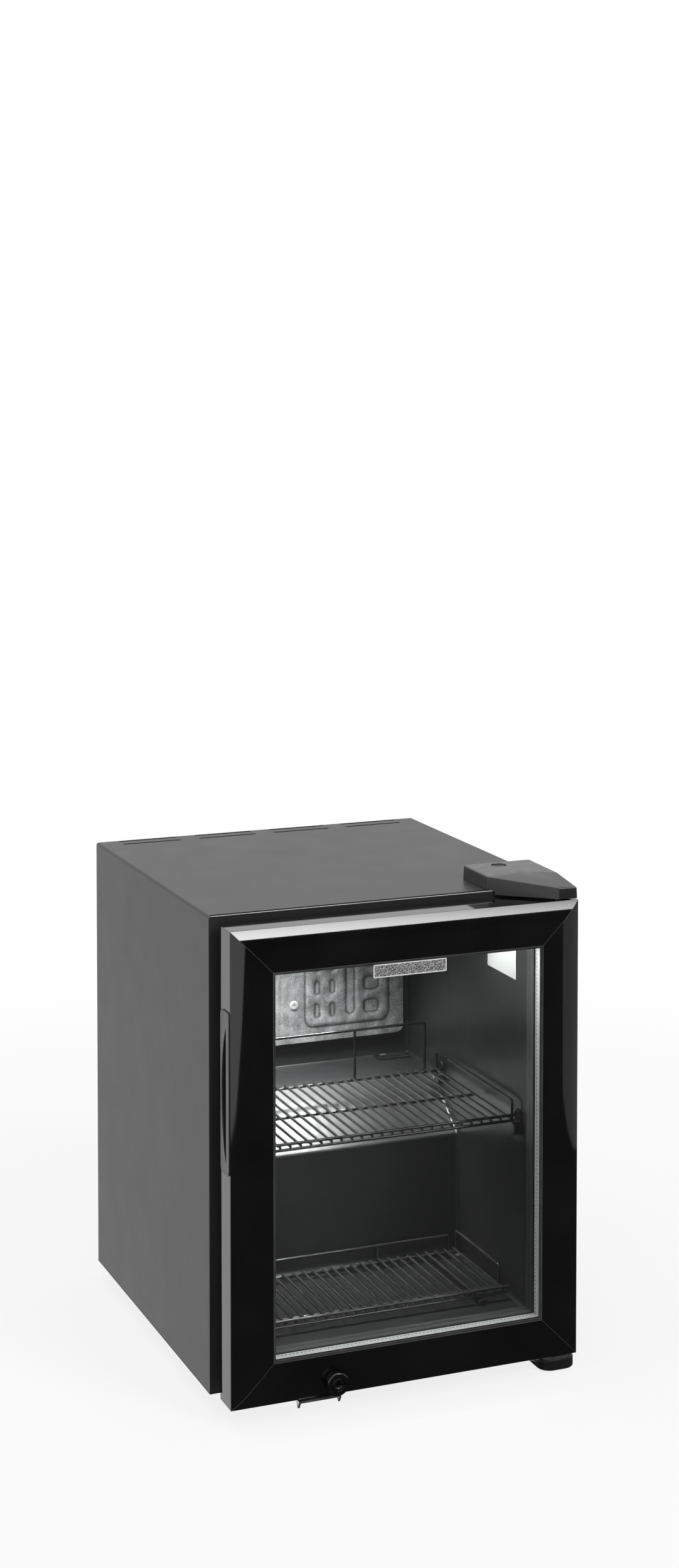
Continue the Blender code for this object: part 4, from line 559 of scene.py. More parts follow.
def whiteSurroundings(look):
    # white where it is seen, a dimmer grey as light on matt surfaces
    world = bpy.data.worlds.new("studio")
    world.use_nodes = True
    tree = world.node_tree
    tree.nodes.clear()
    fill, seen = [addNode(tree, "ShaderNodeBackground", {"Color": white, "Strength": power})
                  for power in look["powers"]]
    share = mathOn(tree, "MAXIMUM", eyeRays(tree), mirrorRays(tree))
    mixed = blendOn(tree, share, fill.outputs["Background"], seen.outputs["Background"])
    addNode(tree, "ShaderNodeOutputWorld", {"Surface": mixed})
    bpy.context.scene.world = world


def stageSheet(name, points, finish):
    mesh = bpy.data.meshes.new(name)
    mesh.from_pydata(points, [], [list(range(len(points)))])
    mesh.materials.append(finish)
    sheet = addToScene(name, mesh)
    return sheet


def paleFloor(look):
    # matt and pale; towards the eye it brightens to white with distance, and near the cooler keeps its shadow
    made, tree, shader = newFinish("pale floor")
    feed(tree, shader, {"Base Color": (0.86, 0.86, 0.86, 1), "Roughness": 0.9, "Specular IOR Level": 0.1})
    away = addNode(tree, "ShaderNodeVectorMath", {0: objectPlace(tree)}, operation="LENGTH").outputs["Value"]
    far = rangeOn(tree, away, 1 - look["keepShadow"], 1.0, look["clearFrom"], look["clearTo"])
    seen = mathOn(tree, "MULTIPLY", far, eyeRays(tree))
    share = mathOn(tree, "MAXIMUM", seen, mirrorRays(tree))
    showSurface(tree, blendOn(tree, share, shader.outputs["BSDF"], glowOn(tree, white)))
    turn = np.linspace(0, 2 * np.pi, 96, endpoint=False)
    rim = np.stack([np.cos(turn), np.sin(turn), 0 * turn], 1) * look["reach"]
    stageSheet("paleFloor", rim.tolist(), made)


def studioCard(name, tone, points):
    # cloth that only mirrors see: it keeps the white studio out of the gloss black door
    made, tree, _ = newFinish(name)
    weave = noiseOn(tree, objectPlace(tree), 40, 3)
    colours = rampOn(tree, weave, [(0.3, (tone * 0.95,) * 3), (0.7, (tone * 1.05,) * 3)])
    showSurface(tree, glowOn(tree, colours))
    sheet = stageSheet(name, points, made)
    sheet.visible_camera = sheet.visible_diffuse = sheet.visible_shadow = sheet.visible_transmission = False


def keySoftbox(look):
    # the main lamp: an upright sheet that glows less from its left edge to its right edge
    made, tree, _ = newFinish("key softbox")
    across = addNode(tree, "ShaderNodeSeparateXYZ", {"Vector": objectPlace(tree)}).outputs["X"]
    power = rangeOn(tree, across, look["left"], look["right"], *look["x"])
    showSurface(tree, glowOn(tree, white, power))
    (x0, x1), (z0, z1), y = look["x"], look["z"], look["y"]
    sheet = stageSheet("keySoftbox", [(x0, y, z0), (x0, y, z1), (x1, y, z1), (x1, y, z0)], made)
    sheet.visible_camera = False


bpy.context.scene.view_settings.view_transform = "Standard"
studioCamera(cameraLook)
for lampSpec in lampLayout:
    aimLamp(**lampSpec)
whiteSurroundings(worldLook)
paleFloor(floorLook)
keySoftbox(keyLook)
for card in floorCards:
    studioCard(card["name"], card["tone"], [(x, y, card["lift"]) for x, y in card["outline"]])
wallOutline = rectangle(*wallCard["x"], *wallCard["z"])
studioCard(wallCard["name"], wallCard["tone"], [(x, wallCard["y"], z) for x, z in wallOutline])
print("studio ready")


# cabinet sheet metal

wrapLook = dict(bend=3.0, edge=0.8, sheet=1.0, frontReturn=24, rearReturn=12, ventInsets=(4.7, 20.2),
                ventLength=67, ventWidth=4, ventPitch=88, ventCount=4, ventCut=4, edgeBead=0.42,
                beadSink=0.8, seam=(0.9, 5.6), seamSkin=(0.1, 0.04), leastBend=0.3,
                returnRadii=[0.3, 0.3, 0.2, 0.2, 0.3, 0.3])


def slotOutline(x, y, length, width):
    # a stadium: a rectangle whose corner radius is just under half its width
    return arcCorners(rectangle(x - length / 2, x + length / 2, y - width / 2, y + width / 2),
                      width * 0.499, 6)


def cabinetWrap(look):
    # a hooked edge section carried up the left side, over the top and down the right side:
    # a section point that lies d under the skin follows a line d inside the cabinet's outline
    low, high = boxOf("outer_wrap")
    back, half, top, t = high[1], high[0], high[2], look["sheet"]
    front, rear, edge = look["frontReturn"], look["rearReturn"], look["edge"]
    corners = [(0, 0), (0, back), (rear, back), (rear, back - t),
               (t, back - t), (t, t), (front, t), (front, 0)]
    depth, y = arcCorners(corners, [edge, edge, *look["returnRadii"]], 4).T
    bend = np.maximum(look["bend"] - depth, look["leastBend"])[:, None]
    x, z = (half - depth)[:, None], (top - depth)[:, None]
    turn = np.linspace(0, np.pi / 2, 7)
    across = x - bend + bend * np.cos(turn)
    upward = z - bend + bend * np.sin(turn)
    foot = np.full_like(x, low[2])
    u = np.concatenate([-x, -across, across[:, ::-1], x], 1)
    v = np.concatenate([foot, upward, upward[:, ::-1], foot], 1)
    skin = closedPatch(stack3(u, y[:, None], v).transpose(1, 0, 2))
    places = (np.arange(look["ventCount"]) - (look["ventCount"] - 1) / 2) * look["ventPitch"]
    outlines = [slotOutline(vx, back - inset, look["ventLength"], look["ventWidth"])
                for inset in look["ventInsets"] for vx in places]
    vents = [prismPatch(line, "z", top - look["ventCut"], top + look["ventCut"]) for line in outlines]
    makePiece("cabinet_wrap", [skin], cabinetPaint, "cabinet", ["outer_wrap"], 30, [vents])


def frontEdgeLines(look):
    # along the top's front edge a pale bead as a painted highlight, and behind it a flat dark strip as
    # painted shade
    low, high = boxOf("outer_wrap")
    reach, r = high[0] - look["bend"], look["edgeBead"]
    line = [(x, low[1] + r, high[2] - r * look["beadSink"]) for x in (-reach, reach)]
    bead = wirePatch(line, r, (0, 0, 1), 12)
    makePiece("wrap_front_highlight_bead", [bead], paintedHighlightEdge, "cabinet", (), 60)
    # painted shade: a flat dark strip, just proud of the top, stands for the shade in the gap behind the
    # front edge
    (y0, y1), (under, over) = look["seam"], look["seamSkin"]
    seam = blockPatch(-reach, reach, low[1] + y0, low[1] + y1, high[2] - under, high[2] + over)
    makePiece("wrap_front_shade_strip", [seam], paintedShadeStrip, "cabinet", (), 60)


cabinetWrap(wrapLook)
frontEdgeLines(wrapLook)
dress(cabinetPaint, "base_pan", "rear_cover")
dress(wallFoam, "insulation_block")
dress(zincSpangle, "machine_partition", "compressor_base", "thermostat_body")
dress(pumpEnamel, "compressor_shell")
dress(blackMoulding, "terminal_box", "thermostat_cup", "lamp_housing", "upper_hinge_bush", "lower_hinge_bush")
dress(bareCopper, "condenser_coil", "filter_drier", "capillary_pipe")
dress(zincPlate, "upper_hinge_bracket", "lower_hinge_bracket", "lock_keep")
dress(blackRubber, "glass_edge_seal", "cord_gland")
dress(lampGlow, "lamp_diffuser")
print("cabinet dressed")


# door frame: four mitred sides

frameSizes = dict(depth=31.4, crown=5.9, crownWidth=20, width=42, rebate=32.5, lip=1.1, lipRadius=0.8,
                  mitreGap=0.12, groove=0.45, grooveBack=1.3, grooveWidth=0.5, grooveEdge=0.12,
                  backEdge=(0.8, 0.25))
doorLow, doorHigh = boxOf("door_stile_left")[0], boxOf("door_stile_right")[1]
doorLow[2], doorHigh[2] = boxOf("door_rail_bottom")[0][2], boxOf("door_rail_top")[1][2]
doorBack, doorFront = doorHigh[1], doorLow[1]


def frameSection(look):
    # (inset, y) round the section: square back, a fine groove by the front edge, then a crown whose
    # fall from the flat face grows as the square of the distance to it, and a lip over the glass
    edge = doorBack - look["depth"]
    g0 = edge + look["grooveBack"]
    g1 = g0 - look["grooveWidth"]
    deep, soft = look["groove"], look["grooveEdge"]
    groove = [(0, g0), (deep, g0 - soft), (deep, g1 + soft), (0, g1)]
    s = np.linspace(0, look["crownWidth"], 17)
    crown = np.stack([s, doorFront + look["crown"] * (1 - s / look["crownWidth"]) ** 2], 1)
    inner, r = doorFront + look["lip"], look["lipRadius"]
    turn = np.radians([0, 30, 60, 90])
    lip = np.stack([look["width"] - r + r * np.sin(turn), doorFront + r - r * np.cos(turn)], 1)
    rebate = [(look["width"], inner), (look["rebate"], inner), (look["rebate"], doorBack)]
    wide, near = look["backEdge"]
    back = [(wide, doorBack), (near, doorBack - near), (0, doorBack - wide)]
    return np.concatenate([back, groove, crown, lip, rebate])


def frameSide(name, section, gap, cuts=()):
    s, y = section.T
    xEnds = np.stack([doorLow[0] + s, doorHigh[0] - s])
    zEnds = np.stack([doorLow[2] + s, doorHigh[2] - s])
    pull = np.array([[gap], [-gap]])
    if name in ("door_rail_bottom", "door_rail_top"):
        points = stack3(xEnds + pull, y, zEnds[0 if name.endswith("bottom") else 1])
    else:
        points = stack3(xEnds[0 if name.endswith("left") else 1], y, zEnds + pull)
    piece = name.replace("door_", "frame_")
    makePiece(piece, [closedPatch(points)], glossFrame, "door", [name], 25, cuts)


pinPlace, lockPlace = sum(boxOf("upper_hinge_bush")) / 2, sum(boxOf("lock_housing")) / 2
bushHole = dict(radius=7.3, depth=16)
lockHole = dict(radius=9.0, y=(-5, 16))
camRoom = dict(x=(-102, -71), y=(-38, -33), z=(-3, 4))
cupRoom = dict(x=(-190, -161), y=(-36.6, -20), z=(235, 372))


def bushCut(z):
    ends = [(bushHole["radius"], z + end) for end in (-bushHole["depth"], bushHole["depth"])]
    return lathePatch(ends, (pinPlace[0], pinPlace[1], 0), "z", 40)


def barrelCut():
    ends = [(lockHole["radius"], doorFront + end) for end in lockHole["y"]]
    return lathePatch(ends, (lockPlace[0], 0, lockPlace[2]), "y", 48)


def roomCut(look):
    return blockPatch(*look["x"], *look["y"], *look["z"])


sectionLine = frameSection(frameSizes)
topBush, bottomBush = bushCut(doorHigh[2]), bushCut(doorLow[2])
sideCuts = {"door_rail_top": [[topBush]], "door_rail_bottom": [[bottomBush], [barrelCut()],
                                                               [roomCut(camRoom)]],
            "door_stile_right": [[topBush, bottomBush]], "door_stile_left": [[roomCut(cupRoom)]]}
for side, cuts in sideCuts.items():
    frameSide(side, sectionLine, frameSizes["mitreGap"], cuts)
print("door frame built")


# rings round the door: spacer, glazing bead, rear frame, gasket

def doorRing(section, shift=(0, 0, 0)):
    # carries an (inset, y) section round the door's four corners
    s, y = np.asarray(section, float).T
    x = np.stack([doorLow[0] + s, doorHigh[0] - s, doorHigh[0] - s, doorLow[0] + s])
    z = np.stack([doorLow[2] + s, doorLow[2] + s, doorHigh[2] - s, doorHigh[2] - s])
    return [gridPatch(stack3(x, y, z) + shift, wrapRows=True)]


ringSizes = dict(unitShift=(1.2, 0, -0.2), spacer=(42.5, 43.7), holePitch=4.04, holeRadius=0.8,
                 holeShare=0.68, holeSkin=0.03, holeRim=0.9, flute=(1.2, 0.3), fluteSkin=(0.1, 0.02),
                 spacerEdge=(0.4, 0.5), border=40.5, borderInner=(43.75, 44.7), borderGap=0.04,
                 bead=(2.2, 0.9), beadGap=(0.02, 0.05), edgeRadius=0.28, mitreLine=0.14, gasketInset=17.0,
                 gasketWidth=10.5, gasketWave=0.2, gasketBox=(0.6, 0.75), rearRadii=[0.4, 0.4, 3.2, 0.6])


def spacerBarRing(sizes):
    low, high = boxOf("glass_spacer")
    a, b = sizes["spacer"]
    y0, y1 = low[1], high[1]
    row = y0 + (y1 - y0) * sizes["holeShare"]
    half, depth = sizes["flute"]
    sunk, (inward, sideways) = b - depth, sizes["spacerEdge"]
    flute = [(b, row + half), (sunk, row + half - depth), (sunk, row - half + depth), (b, row - half)]
    section = [(a, y0), (a, y1), (b - inward, y1), (b, y1 - sideways), *flute,
               (b, y0 + sideways), (b - inward, y0)]
    makePiece("spacer_bar", doorRing(section, sizes["unitShift"]), spacerBar, "door",
              ["glass_spacer"], 30)
    # a dark grey strip in the flute as painted shade, and along it drying holes, as shallow discs that show
    # the pale filling
    edge, (under, over) = half - depth, sizes["fluteSkin"]
    strip = rectangle(sunk + over, sunk - under, row - edge, row + edge)[[1, 2, 3, 0]]
    makePiece("spacer_flute", doorRing(strip, sizes["unitShift"]), fluteShade, "door")
    pitch, r, skin = sizes["holePitch"], sizes["holeRadius"], sizes["holeSkin"]
    x0, x1 = doorLow[0] + sunk + over, doorHigh[0] - sunk - over
    z0, z1 = doorLow[2] + sunk + over, doorHigh[2] - sunk - over
    across = np.arange(x0 + pitch, x1 - pitch / 2, pitch)
    upward = np.arange(z0 + pitch, z1 - pitch / 2, pitch)
    rows = [[(x, 0, z) for x in across] for z in (z0, z1)] + [[(x, 0, z) for z in upward] for x in (x0, x1)]
    middle = np.add(sizes["unitShift"], (0, row, 0))
    holes = []
    for (axis, side), places in zip((("z", -1), ("z", 1), ("x", -1), ("x", 1)), rows):
        outline = [(r, side * skin), (r * sizes["holeRim"], 0), (poleRadius, -side * skin)]
        holes.append(repeated(lathePatch(outline, middle, axis, 8), places))
    makePiece("spacer_holes", holes, blankLabel, "door")


def paneBorders(sizes):
    # black sealing bands in the gaps before and behind the spacer, each a little wider than the spacer
    low, high = boxOf("glass_spacer")
    gaps = [(boxOf("front_pane")[1][1], low[1]), (high[1], boxOf("rear_pane")[0][1])]
    bands = []
    for (y0, y1), inner in zip(gaps, sizes["borderInner"]):
        y0, y1 = y0 + sizes["borderGap"], y1 - sizes["borderGap"]
        outer = sizes["border"]
        bands += doorRing([(outer, y0), (outer, y1), (inner, y1), (inner, y0)], sizes["unitShift"])
    makePiece("pane_borders", bands, blackRubber, "door")


def frameEdgeLine(sizes):
    # a fine pale bead along the lip's round edge, half sunk in it: a painted highlight
    r, turn = sizes["edgeRadius"], np.linspace(0, 2 * np.pi, 8, endpoint=False)
    middle = frameSizes["lipRadius"] * (1 - math.sqrt(0.5))
    s, y = frameSizes["width"] - middle, doorFront + middle
    section = np.stack([s + r * np.cos(turn), y + r * np.sin(turn)], 1)
    makePiece("frame_edge_line", doorRing(section), paintedEdgeHighlight, "door", (), 60)


def mitreLines(sizes):
    # a pale hair line in each corner's mitre, along the crown and the flat face to the lip, half sunk in
    # them: a painted highlight
    s, y = sectionLine.T
    shown = (y < doorBack - frameSizes["depth"] + 0.01) & (s < frameSizes["width"])
    s, y = s[shown], y[shown]
    wires = []
    for x0, turnX in ((doorLow[0], 1), (doorHigh[0], -1)):
        for z0, turnZ in ((doorLow[2], 1), (doorHigh[2], -1)):
            line = stack3(x0 + turnX * s, y, z0 + turnZ * s)
            wires.append(wirePatch(line, sizes["mitreLine"], np.array((-turnZ, 0, turnX)) / math.sqrt(2), 8))
    makePiece("frame_mitre_lines", wires, paintedEdgeHighlight, "door", (), 60)


def glazingBead(sizes):
    # a thin black bead in the corner between the lip and the front pane
    (wide, high), (aside, before) = sizes["bead"], sizes["beadGap"]
    inner, pane = frameSizes["width"], boxOf("front_pane")[0][1] - before
    turn = np.radians(np.linspace(0, 90, 5))[:-1]
    curve = np.stack([inner + wide * np.cos(turn), pane - high * np.sin(turn)], 1)
    section = np.concatenate([[(inner + aside, pane)], curve, [(inner + aside, pane - high)]])
    makePiece("glazing_bead", doorRing(section), blackRubber, "door")


def rearFrame(sizes):
    low, high = boxOf("door_back_frame")
    outer, inner = low[0] - doorLow[0], frameSizes["width"]
    corners = [(outer, low[1]), (outer, high[1]), (inner, high[1]), (inner, low[1])]
    section = arcCorners(corners, sizes["rearRadii"], 5)
    makePiece("rear_glass_frame", doorRing(section), blackMoulding, "door",
              ["door_back_frame"])


def bellowsGasket(sizes):
    # a magnet box at the cabinet side and a foot in the door, with a pleated web between them:
    # the web's half width swings as a cosine, one and a half waves from foot to box
    low, high = boxOf("door_gasket")
    y0, y1 = low[1], high[1]
    middle, half = sizes["gasketInset"] + sizes["gasketWidth"] / 2, sizes["gasketWidth"] / 2
    t, wave = np.linspace(0, 1, 25), sizes["gasketWave"]
    wide = half * (1 - wave + wave * np.cos(3 * np.pi * t) * (1 - t))
    wide = np.minimum(wide + half * wave * smoothStep(*sizes["gasketBox"], t), half)
    y = y0 + (y1 - y0) * t
    section = np.concatenate([np.stack([middle - wide, y], 1), np.stack([middle + wide, y], 1)[::-1]])
    makePiece("bellows_gasket", doorRing(section), blackRubber, "door", ["door_gasket"], 40)


spacerBarRing(ringSizes)
paneBorders(ringSizes)
frameEdgeLine(ringSizes)
mitreLines(ringSizes)
glazingBead(ringSizes)
rearFrame(ringSizes)
bellowsGasket(ringSizes)
dress(doorGlass, "front_pane")
dress(coatedGlass, "rear_pane")
print("glass unit and gasket built")


# handle in the door's left edge

handleSizes = dict(z=(226, 384), y=(-43, -19), corner=6.0, slotZ=(237.5, 368.5), slotFront=-34.4,
                   slotArch=11.4, archPower=2.4, depth=19, wall=1.4, gap=0.05, draft=1.5,
                   plateEdge=[(0, 0.5), (-0.2, 0.15), (-0.6, 0)],
                   slotEdge=[(1.1, 0), (0.5, 0.15), (0.1, 0.6), (0, 1.4)])


def handlePlateLoop(look, grow):
    # up the front side and down the rear side, spaced as a cosine so that the round ends get more points
    z0, z1 = look["z"][0] - grow, look["z"][1] + grow
    z = (z0 + z1) / 2 - (z1 - z0) / 2 * np.cos(np.linspace(0, np.pi, 40))
    r = look["corner"] + grow
    near = np.minimum(np.minimum(z - z0, z1 - z), r)
    inset = r - np.sqrt(np.maximum(r * r - (r - near) ** 2, 0))
    front, rear = look["y"][0] - grow + inset, look["y"][1] + grow - inset
    return np.concatenate([np.stack([front, z], 1), np.stack([rear, z], 1)[::-1]])


def fingerSlotLoop(look, grow, draft=0.0):
    # straight at the front; the rear side bows out and meets the front side in a point at both ends
    z0, z1 = look["slotZ"][0] - grow + 2 * draft, look["slotZ"][1] + grow - 2 * draft
    t = (1 - np.cos(np.linspace(0, np.pi, 40))) / 2
    z = z0 + (z1 - z0) * t
    bow = (look["slotArch"] + 2 * grow - draft) * (1 - abs(2 * t - 1) ** look["archPower"])
    front = np.full_like(z, look["slotFront"] - grow)
    return np.concatenate([np.stack([front, z], 1), np.stack([front + bow, z], 1)[::-1]])


def fingerHandle(look):
    # rings run from the cup's hidden outside over the plate's edge and face, and down into the slot
    outer, skin = boxOf("handle_insert")[0][0], doorLow[0]
    inner, wall, under = skin + look["depth"], look["wall"], skin + look["gap"]
    rings = [(fingerSlotLoop(look, wall), inner + wall), (fingerSlotLoop(look, wall), under),
             (handlePlateLoop(look, 0), under)]
    rings += [(handlePlateLoop(look, grow), outer + x) for grow, x in look["plateEdge"]]
    rings += [(fingerSlotLoop(look, grow), outer + x) for grow, x in look["slotEdge"]]
    rings.append((fingerSlotLoop(look, 0, look["draft"]), inner))
    makePiece("finger_handle", [closedPatch(ringGrid(rings, "x"))], blackMoulding, "door",
              ["handle_insert"], 40)


fingerHandle(handleSizes)


# hinges

coverSizes = dict(left=107, right=184, back=63, shoulder=3, noseLeft=164, noseY=-44, overhang=-46, stepY=-2,
                  top=482, bendFrom=15, bendLength=95, bendDrop=10.075, seat=468.3, doorSide=464, edge=1.2,
                  draft=0.6, radii=[7, 0, 0, 1.6, 1.4, 0, 0, 4, 4], join=0.05, middle=(150, 12),
                  plug=(142, 49), plugRadius=7.5, wall=2.2, well=[(0.3, -4), (0.3, -0.6), (1, 0.6)],
                  dish=[(2.625, -9.5), (2.625, -3.2), (7.5, -3.2), (7.5, -1.7), (7, -1.2), (6.4, -1.3),
                        (5.4, -2), (3, -2.3), (0.05, -2.4)])
lugSizes = dict(x=(149, 188), y=(-42, 22), corner=13, bottom=-16, top=-5.1, groove=(-9.4, -8.2),
                grooveDepth=0.9, grooveEdge=0.15, edge=1.6, leastCorner=0.5, rearCorner=1.0,
                topEdge=[(0.8, 0), (0.2, 0.3), (0, 0.9)])


def hingeCoverTop(look, y):  # level over the cabinet, bending down to the nose over the door
    return look["top"] - look["bendDrop"] * smoothStep(0, look["bendLength"], look["bendFrom"] - y)


def hingeCover(look):
    # plan rings from the open foot up the drafted wall, round the top edge and in over the lid;
    # the lid's rings shrink towards one middle point and take their height from the bend
    slope = (look["noseY"] - look["shoulder"]) / (look["noseLeft"] - look["left"])
    stepX = look["left"] + (look["stepY"] - look["shoulder"]) / slope
    left, right, stepY, join = look["left"], look["right"], look["stepY"], look["join"]
    plan = [(left, look["shoulder"]), (stepX - join, stepY + join), (stepX + join, stepY - join),
            (look["noseLeft"], look["noseY"]), (right, look["overhang"]), (right, stepY - join),
            (right, stepY + join), (right, look["back"]), (left, look["back"])]
    radii, middle = np.array(look["radii"]), np.array(look["middle"])
    foot = arcCorners(plan, radii, 5)
    rings = [(foot, np.where(foot[:, 1] > stepY, look["seat"], look["doorSide"]))]
    for turn in np.radians([0, 22, 45, 68, 90]):
        inward = look["draft"] + look["edge"] * (1 - math.cos(turn))
        line = arcCorners(offsetCorners(plan, -inward), np.maximum(radii - inward, 0), 5)
        rings.append((line, hingeCoverTop(look, line[:, 1]) - look["edge"] * (1 - math.sin(turn))))
    for share in np.linspace(0.93, 0.03, 14):
        inner = middle + (line - middle) * share
        rings.append((inner, hingeCoverTop(look, inner[:, 1])))
    shell = gridPatch(ringGrid(rings, "z"), capLast=True)
    px, py = look["plug"]
    r, top = look["plugRadius"], hingeCoverTop(look, py)
    well = lathePatch([(r + wider, top + z) for wider, z in look["well"]], (px, py, 0), "z", 48)
    makePiece("hinge_cover_lid", [shell], blackMoulding, "cabinet", ["upper_hinge_cover"],
              40, [[well]], look["wall"])
    plug = lathePatch([(radius, top + z) for radius, z in look["dish"]], (px, py, 0), "z", 48)
    makePiece("hinge_cover_screw_plug", [plug], blackMoulding, "cabinet",
              ["hinge_cover_plug"], 50)


def hingeLug(look):
    # plan rings down the block: a round upper edge, a groove half way and a round lower edge
    def plan(inset):
        front, rear = max(look["corner"] - inset, look["leastCorner"]), look["rearCorner"]
        return arcCorners(insetRectangle(*look["x"], *look["y"], inset), [front, front, rear, rear], 8)

    e, (g0, g1), deep, soft = look["edge"], look["groove"], look["grooveDepth"], look["grooveEdge"]
    top, bottom = look["top"], look["bottom"] + e
    levels = [(inset, top - down) for inset, down in look["topEdge"]]
    levels += [(0, g1), (deep, g1 - soft), (deep, g0 + soft), (0, g0)]
    levels += [(e * (1 - math.cos(a)), bottom - e * math.sin(a)) for a in np.radians([0, 30, 60, 90])]
    block = closedPatch(ringGrid([(plan(inset), z) for inset, z in levels], "z"))
    makePiece("hinge_lug_cap", [block], blackMoulding, "cabinet", ["lower_hinge_cap"], 40)


hingeCover(coverSizes)
hingeLug(lugSizes)
print("handle and hinges built")


# lock, feet, thermostat knob

lockSizes = dict(radius=11.5, rim=1.6, collar=10.4, collarDepth=2.4, plug=6.0, keyhole=3.4, shank=8.7,
                 tang=2.5, slit=(0.6, 2.3), slitY=(-1, 6), boreGap=0.12, boreEdge=(0.3, 0.35), seat=0.3,
                 collarEdge=0.4, keyEdge=[(-0.6, 2.6), (-0.25, 0.6), (0.25, 0.1), (0.6, 0)], coreEdge=0.3)
footSizes = dict(radius=14, rib=0.8, ribs=3, taper=0.11,
                 tread=[(0.8, 0), (0.9, 0.4), (0.97, 1.6), (1, 2.6), (0.95, 4.6)])
knobSizes = dict(grips=24, ripple=0.03, rise=12, stem=3.0, mark=(1.0, 0.7, 3, 12), markOver=2,
                 profile=[(15, 0, 0), (15, 2.4, 0), (14, 3.2, 0), (11.7, 3.4, 1), (11.1, 10.4, 1),
                          (10.5, 11.6, 0.7), (9.6, 12, 0)])


def domeRim(radius, face, rim):  # quarter round from the flat face to the side
    turn = np.linspace(0, np.pi / 2, 6)
    return [(radius - rim + rim * math.sin(a), face + rim * (1 - math.cos(a))) for a in turn]


def doorLock(look):
    x, z = lockPlace[0], lockPlace[2]
    face, back = (corner[1] for corner in boxOf("lock_housing"))
    r, bore, collar, shank = look["radius"], look["plug"] + look["boreGap"], look["collar"], look["shank"]
    flange, (wider, sunk) = doorFront - look["seat"], look["boreEdge"]
    neck = flange - look["collarDepth"]
    outline = [(bore, back), (bore, face + sunk), (bore + wider, face), *domeRim(r, face, look["rim"]),
               (r, neck), (collar, neck + look["collarEdge"]), (collar, flange), (shank, flange),
               (shank, back)]
    ring = gridPatch(lathePatch(outline, (x, 0, z), "y", 72)["points"].reshape(len(outline), -1, 3),
                     wrapRows=True)
    makePiece("lock_head", [ring], glossFrame, "door", ["lock_housing"], 30)
    key, core, tang, e = look["keyhole"], look["plug"], look["tang"], look["coreEdge"]
    end = boxOf("lock_plug")[1][1]
    mouth = [(key + wider, face + deep) for wider, deep in look["keyEdge"]]
    plug = [(poleRadius, mouth[0][1]), *mouth, (core - e, face), (core, face + e), (core, back - e),
            (tang, back - e), (tang, end), (poleRadius, end)]
    (wide, high), (y0, y1) = look["slit"], look["slitY"]
    slit = blockPatch(x - wide, x + wide, face + y0, face + y1, z - high, z + high)
    makePiece("lock_core", [lathePatch(plug, (x, 0, z), "y", 64)], glossFrame, "lock",
              ["lock_plug"], 35, [[slit]])


def rubberFoot(name, look):
    # a tread with a round edge, as shares of the radius, and above it a taper whose radius swings in ribs
    low, high = boxOf(name)
    x, y, _ = (low + high) / 2
    r, z0, z1 = look["radius"], low[2], high[2]
    outline = [(poleRadius, z0)] + [(share * r, z0 + up) for share, up in look["tread"]]
    (wide, skirt), steps = outline[-1], np.linspace(0, 1, 19)
    swing = 0.5 - 0.5 * np.cos(2 * look["ribs"] * np.pi * steps)
    taper = wide - look["taper"] * r * steps - look["rib"] * swing
    outline += [*zip(taper, skirt + (z1 - skirt) * steps), (poleRadius, z1)]
    foot = lathePatch(outline, (x, y, 0), "z", 48)
    makePiece("rubber_" + name, [foot], blackRubber, "cabinet", [name], 40)


def thermostatKnob(look):
    # a skirt and a grip whose radius ripples round the turn, as 1 + ripple cos(grips turn)
    low, high = boxOf("thermostat_knob")
    x, _, z = (low + high) / 2
    y0, y1, stem = low[1], high[1], look["stem"]
    face = y1 - look["rise"]
    outline = [(poleRadius, y0, 0), (stem, y0, 0), (stem, face, 0)]
    outline += [(r, face + up, grip) for r, up, grip in look["profile"]] + [(poleRadius, y1, 0)]
    r, y, grip = np.array(outline).T[:, :, None]
    turn = np.linspace(0, 2 * np.pi, 192, endpoint=False)
    radius = r * (1 + look["ripple"] * grip * np.cos(look["grips"] * turn))
    points = stack3(x + radius * np.cos(turn), y, z + radius * np.sin(turn))
    half, deep, inner, outer = look["mark"]
    mark = blockPatch(x - half, x + half, y1 - deep, y1 + look["markOver"], z + inner, z + outer)
    makePiece("thermostat_dial", [closedPatch(points)], blackMoulding, "knob",
              ["thermostat_knob"], 35, [[mark]])


doorLock(lockSizes)
for corner in ("front_left", "front_right", "rear_left", "rear_right"):
    rubberFoot("foot_" + corner, footSizes)
thermostatKnob(knobSizes)
dress(nickelPlate, "lock_cam")
print("lock, feet and dial built")


# inner liner: floor, compressor step, back and ceiling in one profile, with round junctions to the sides

linerSizes = dict(corners=[(0, 28), (180, 28), (180, 161), (250, 213), (317, 213), (317, 434), (0, 434)],
                  fillets=[0, 12, 3.5, 7, 2.5, 16, 0], bends=[-1, -1, 1, 1, -1, -1, -1], half=158,
                  junction=4.5, sheet=1.5, ribX=120, ribWidth=8, ribY=(38, 171), ribTop=33.2, ribSink=1,
                  ribRadii=[0.1, 0.1, 2.4, 2.4])


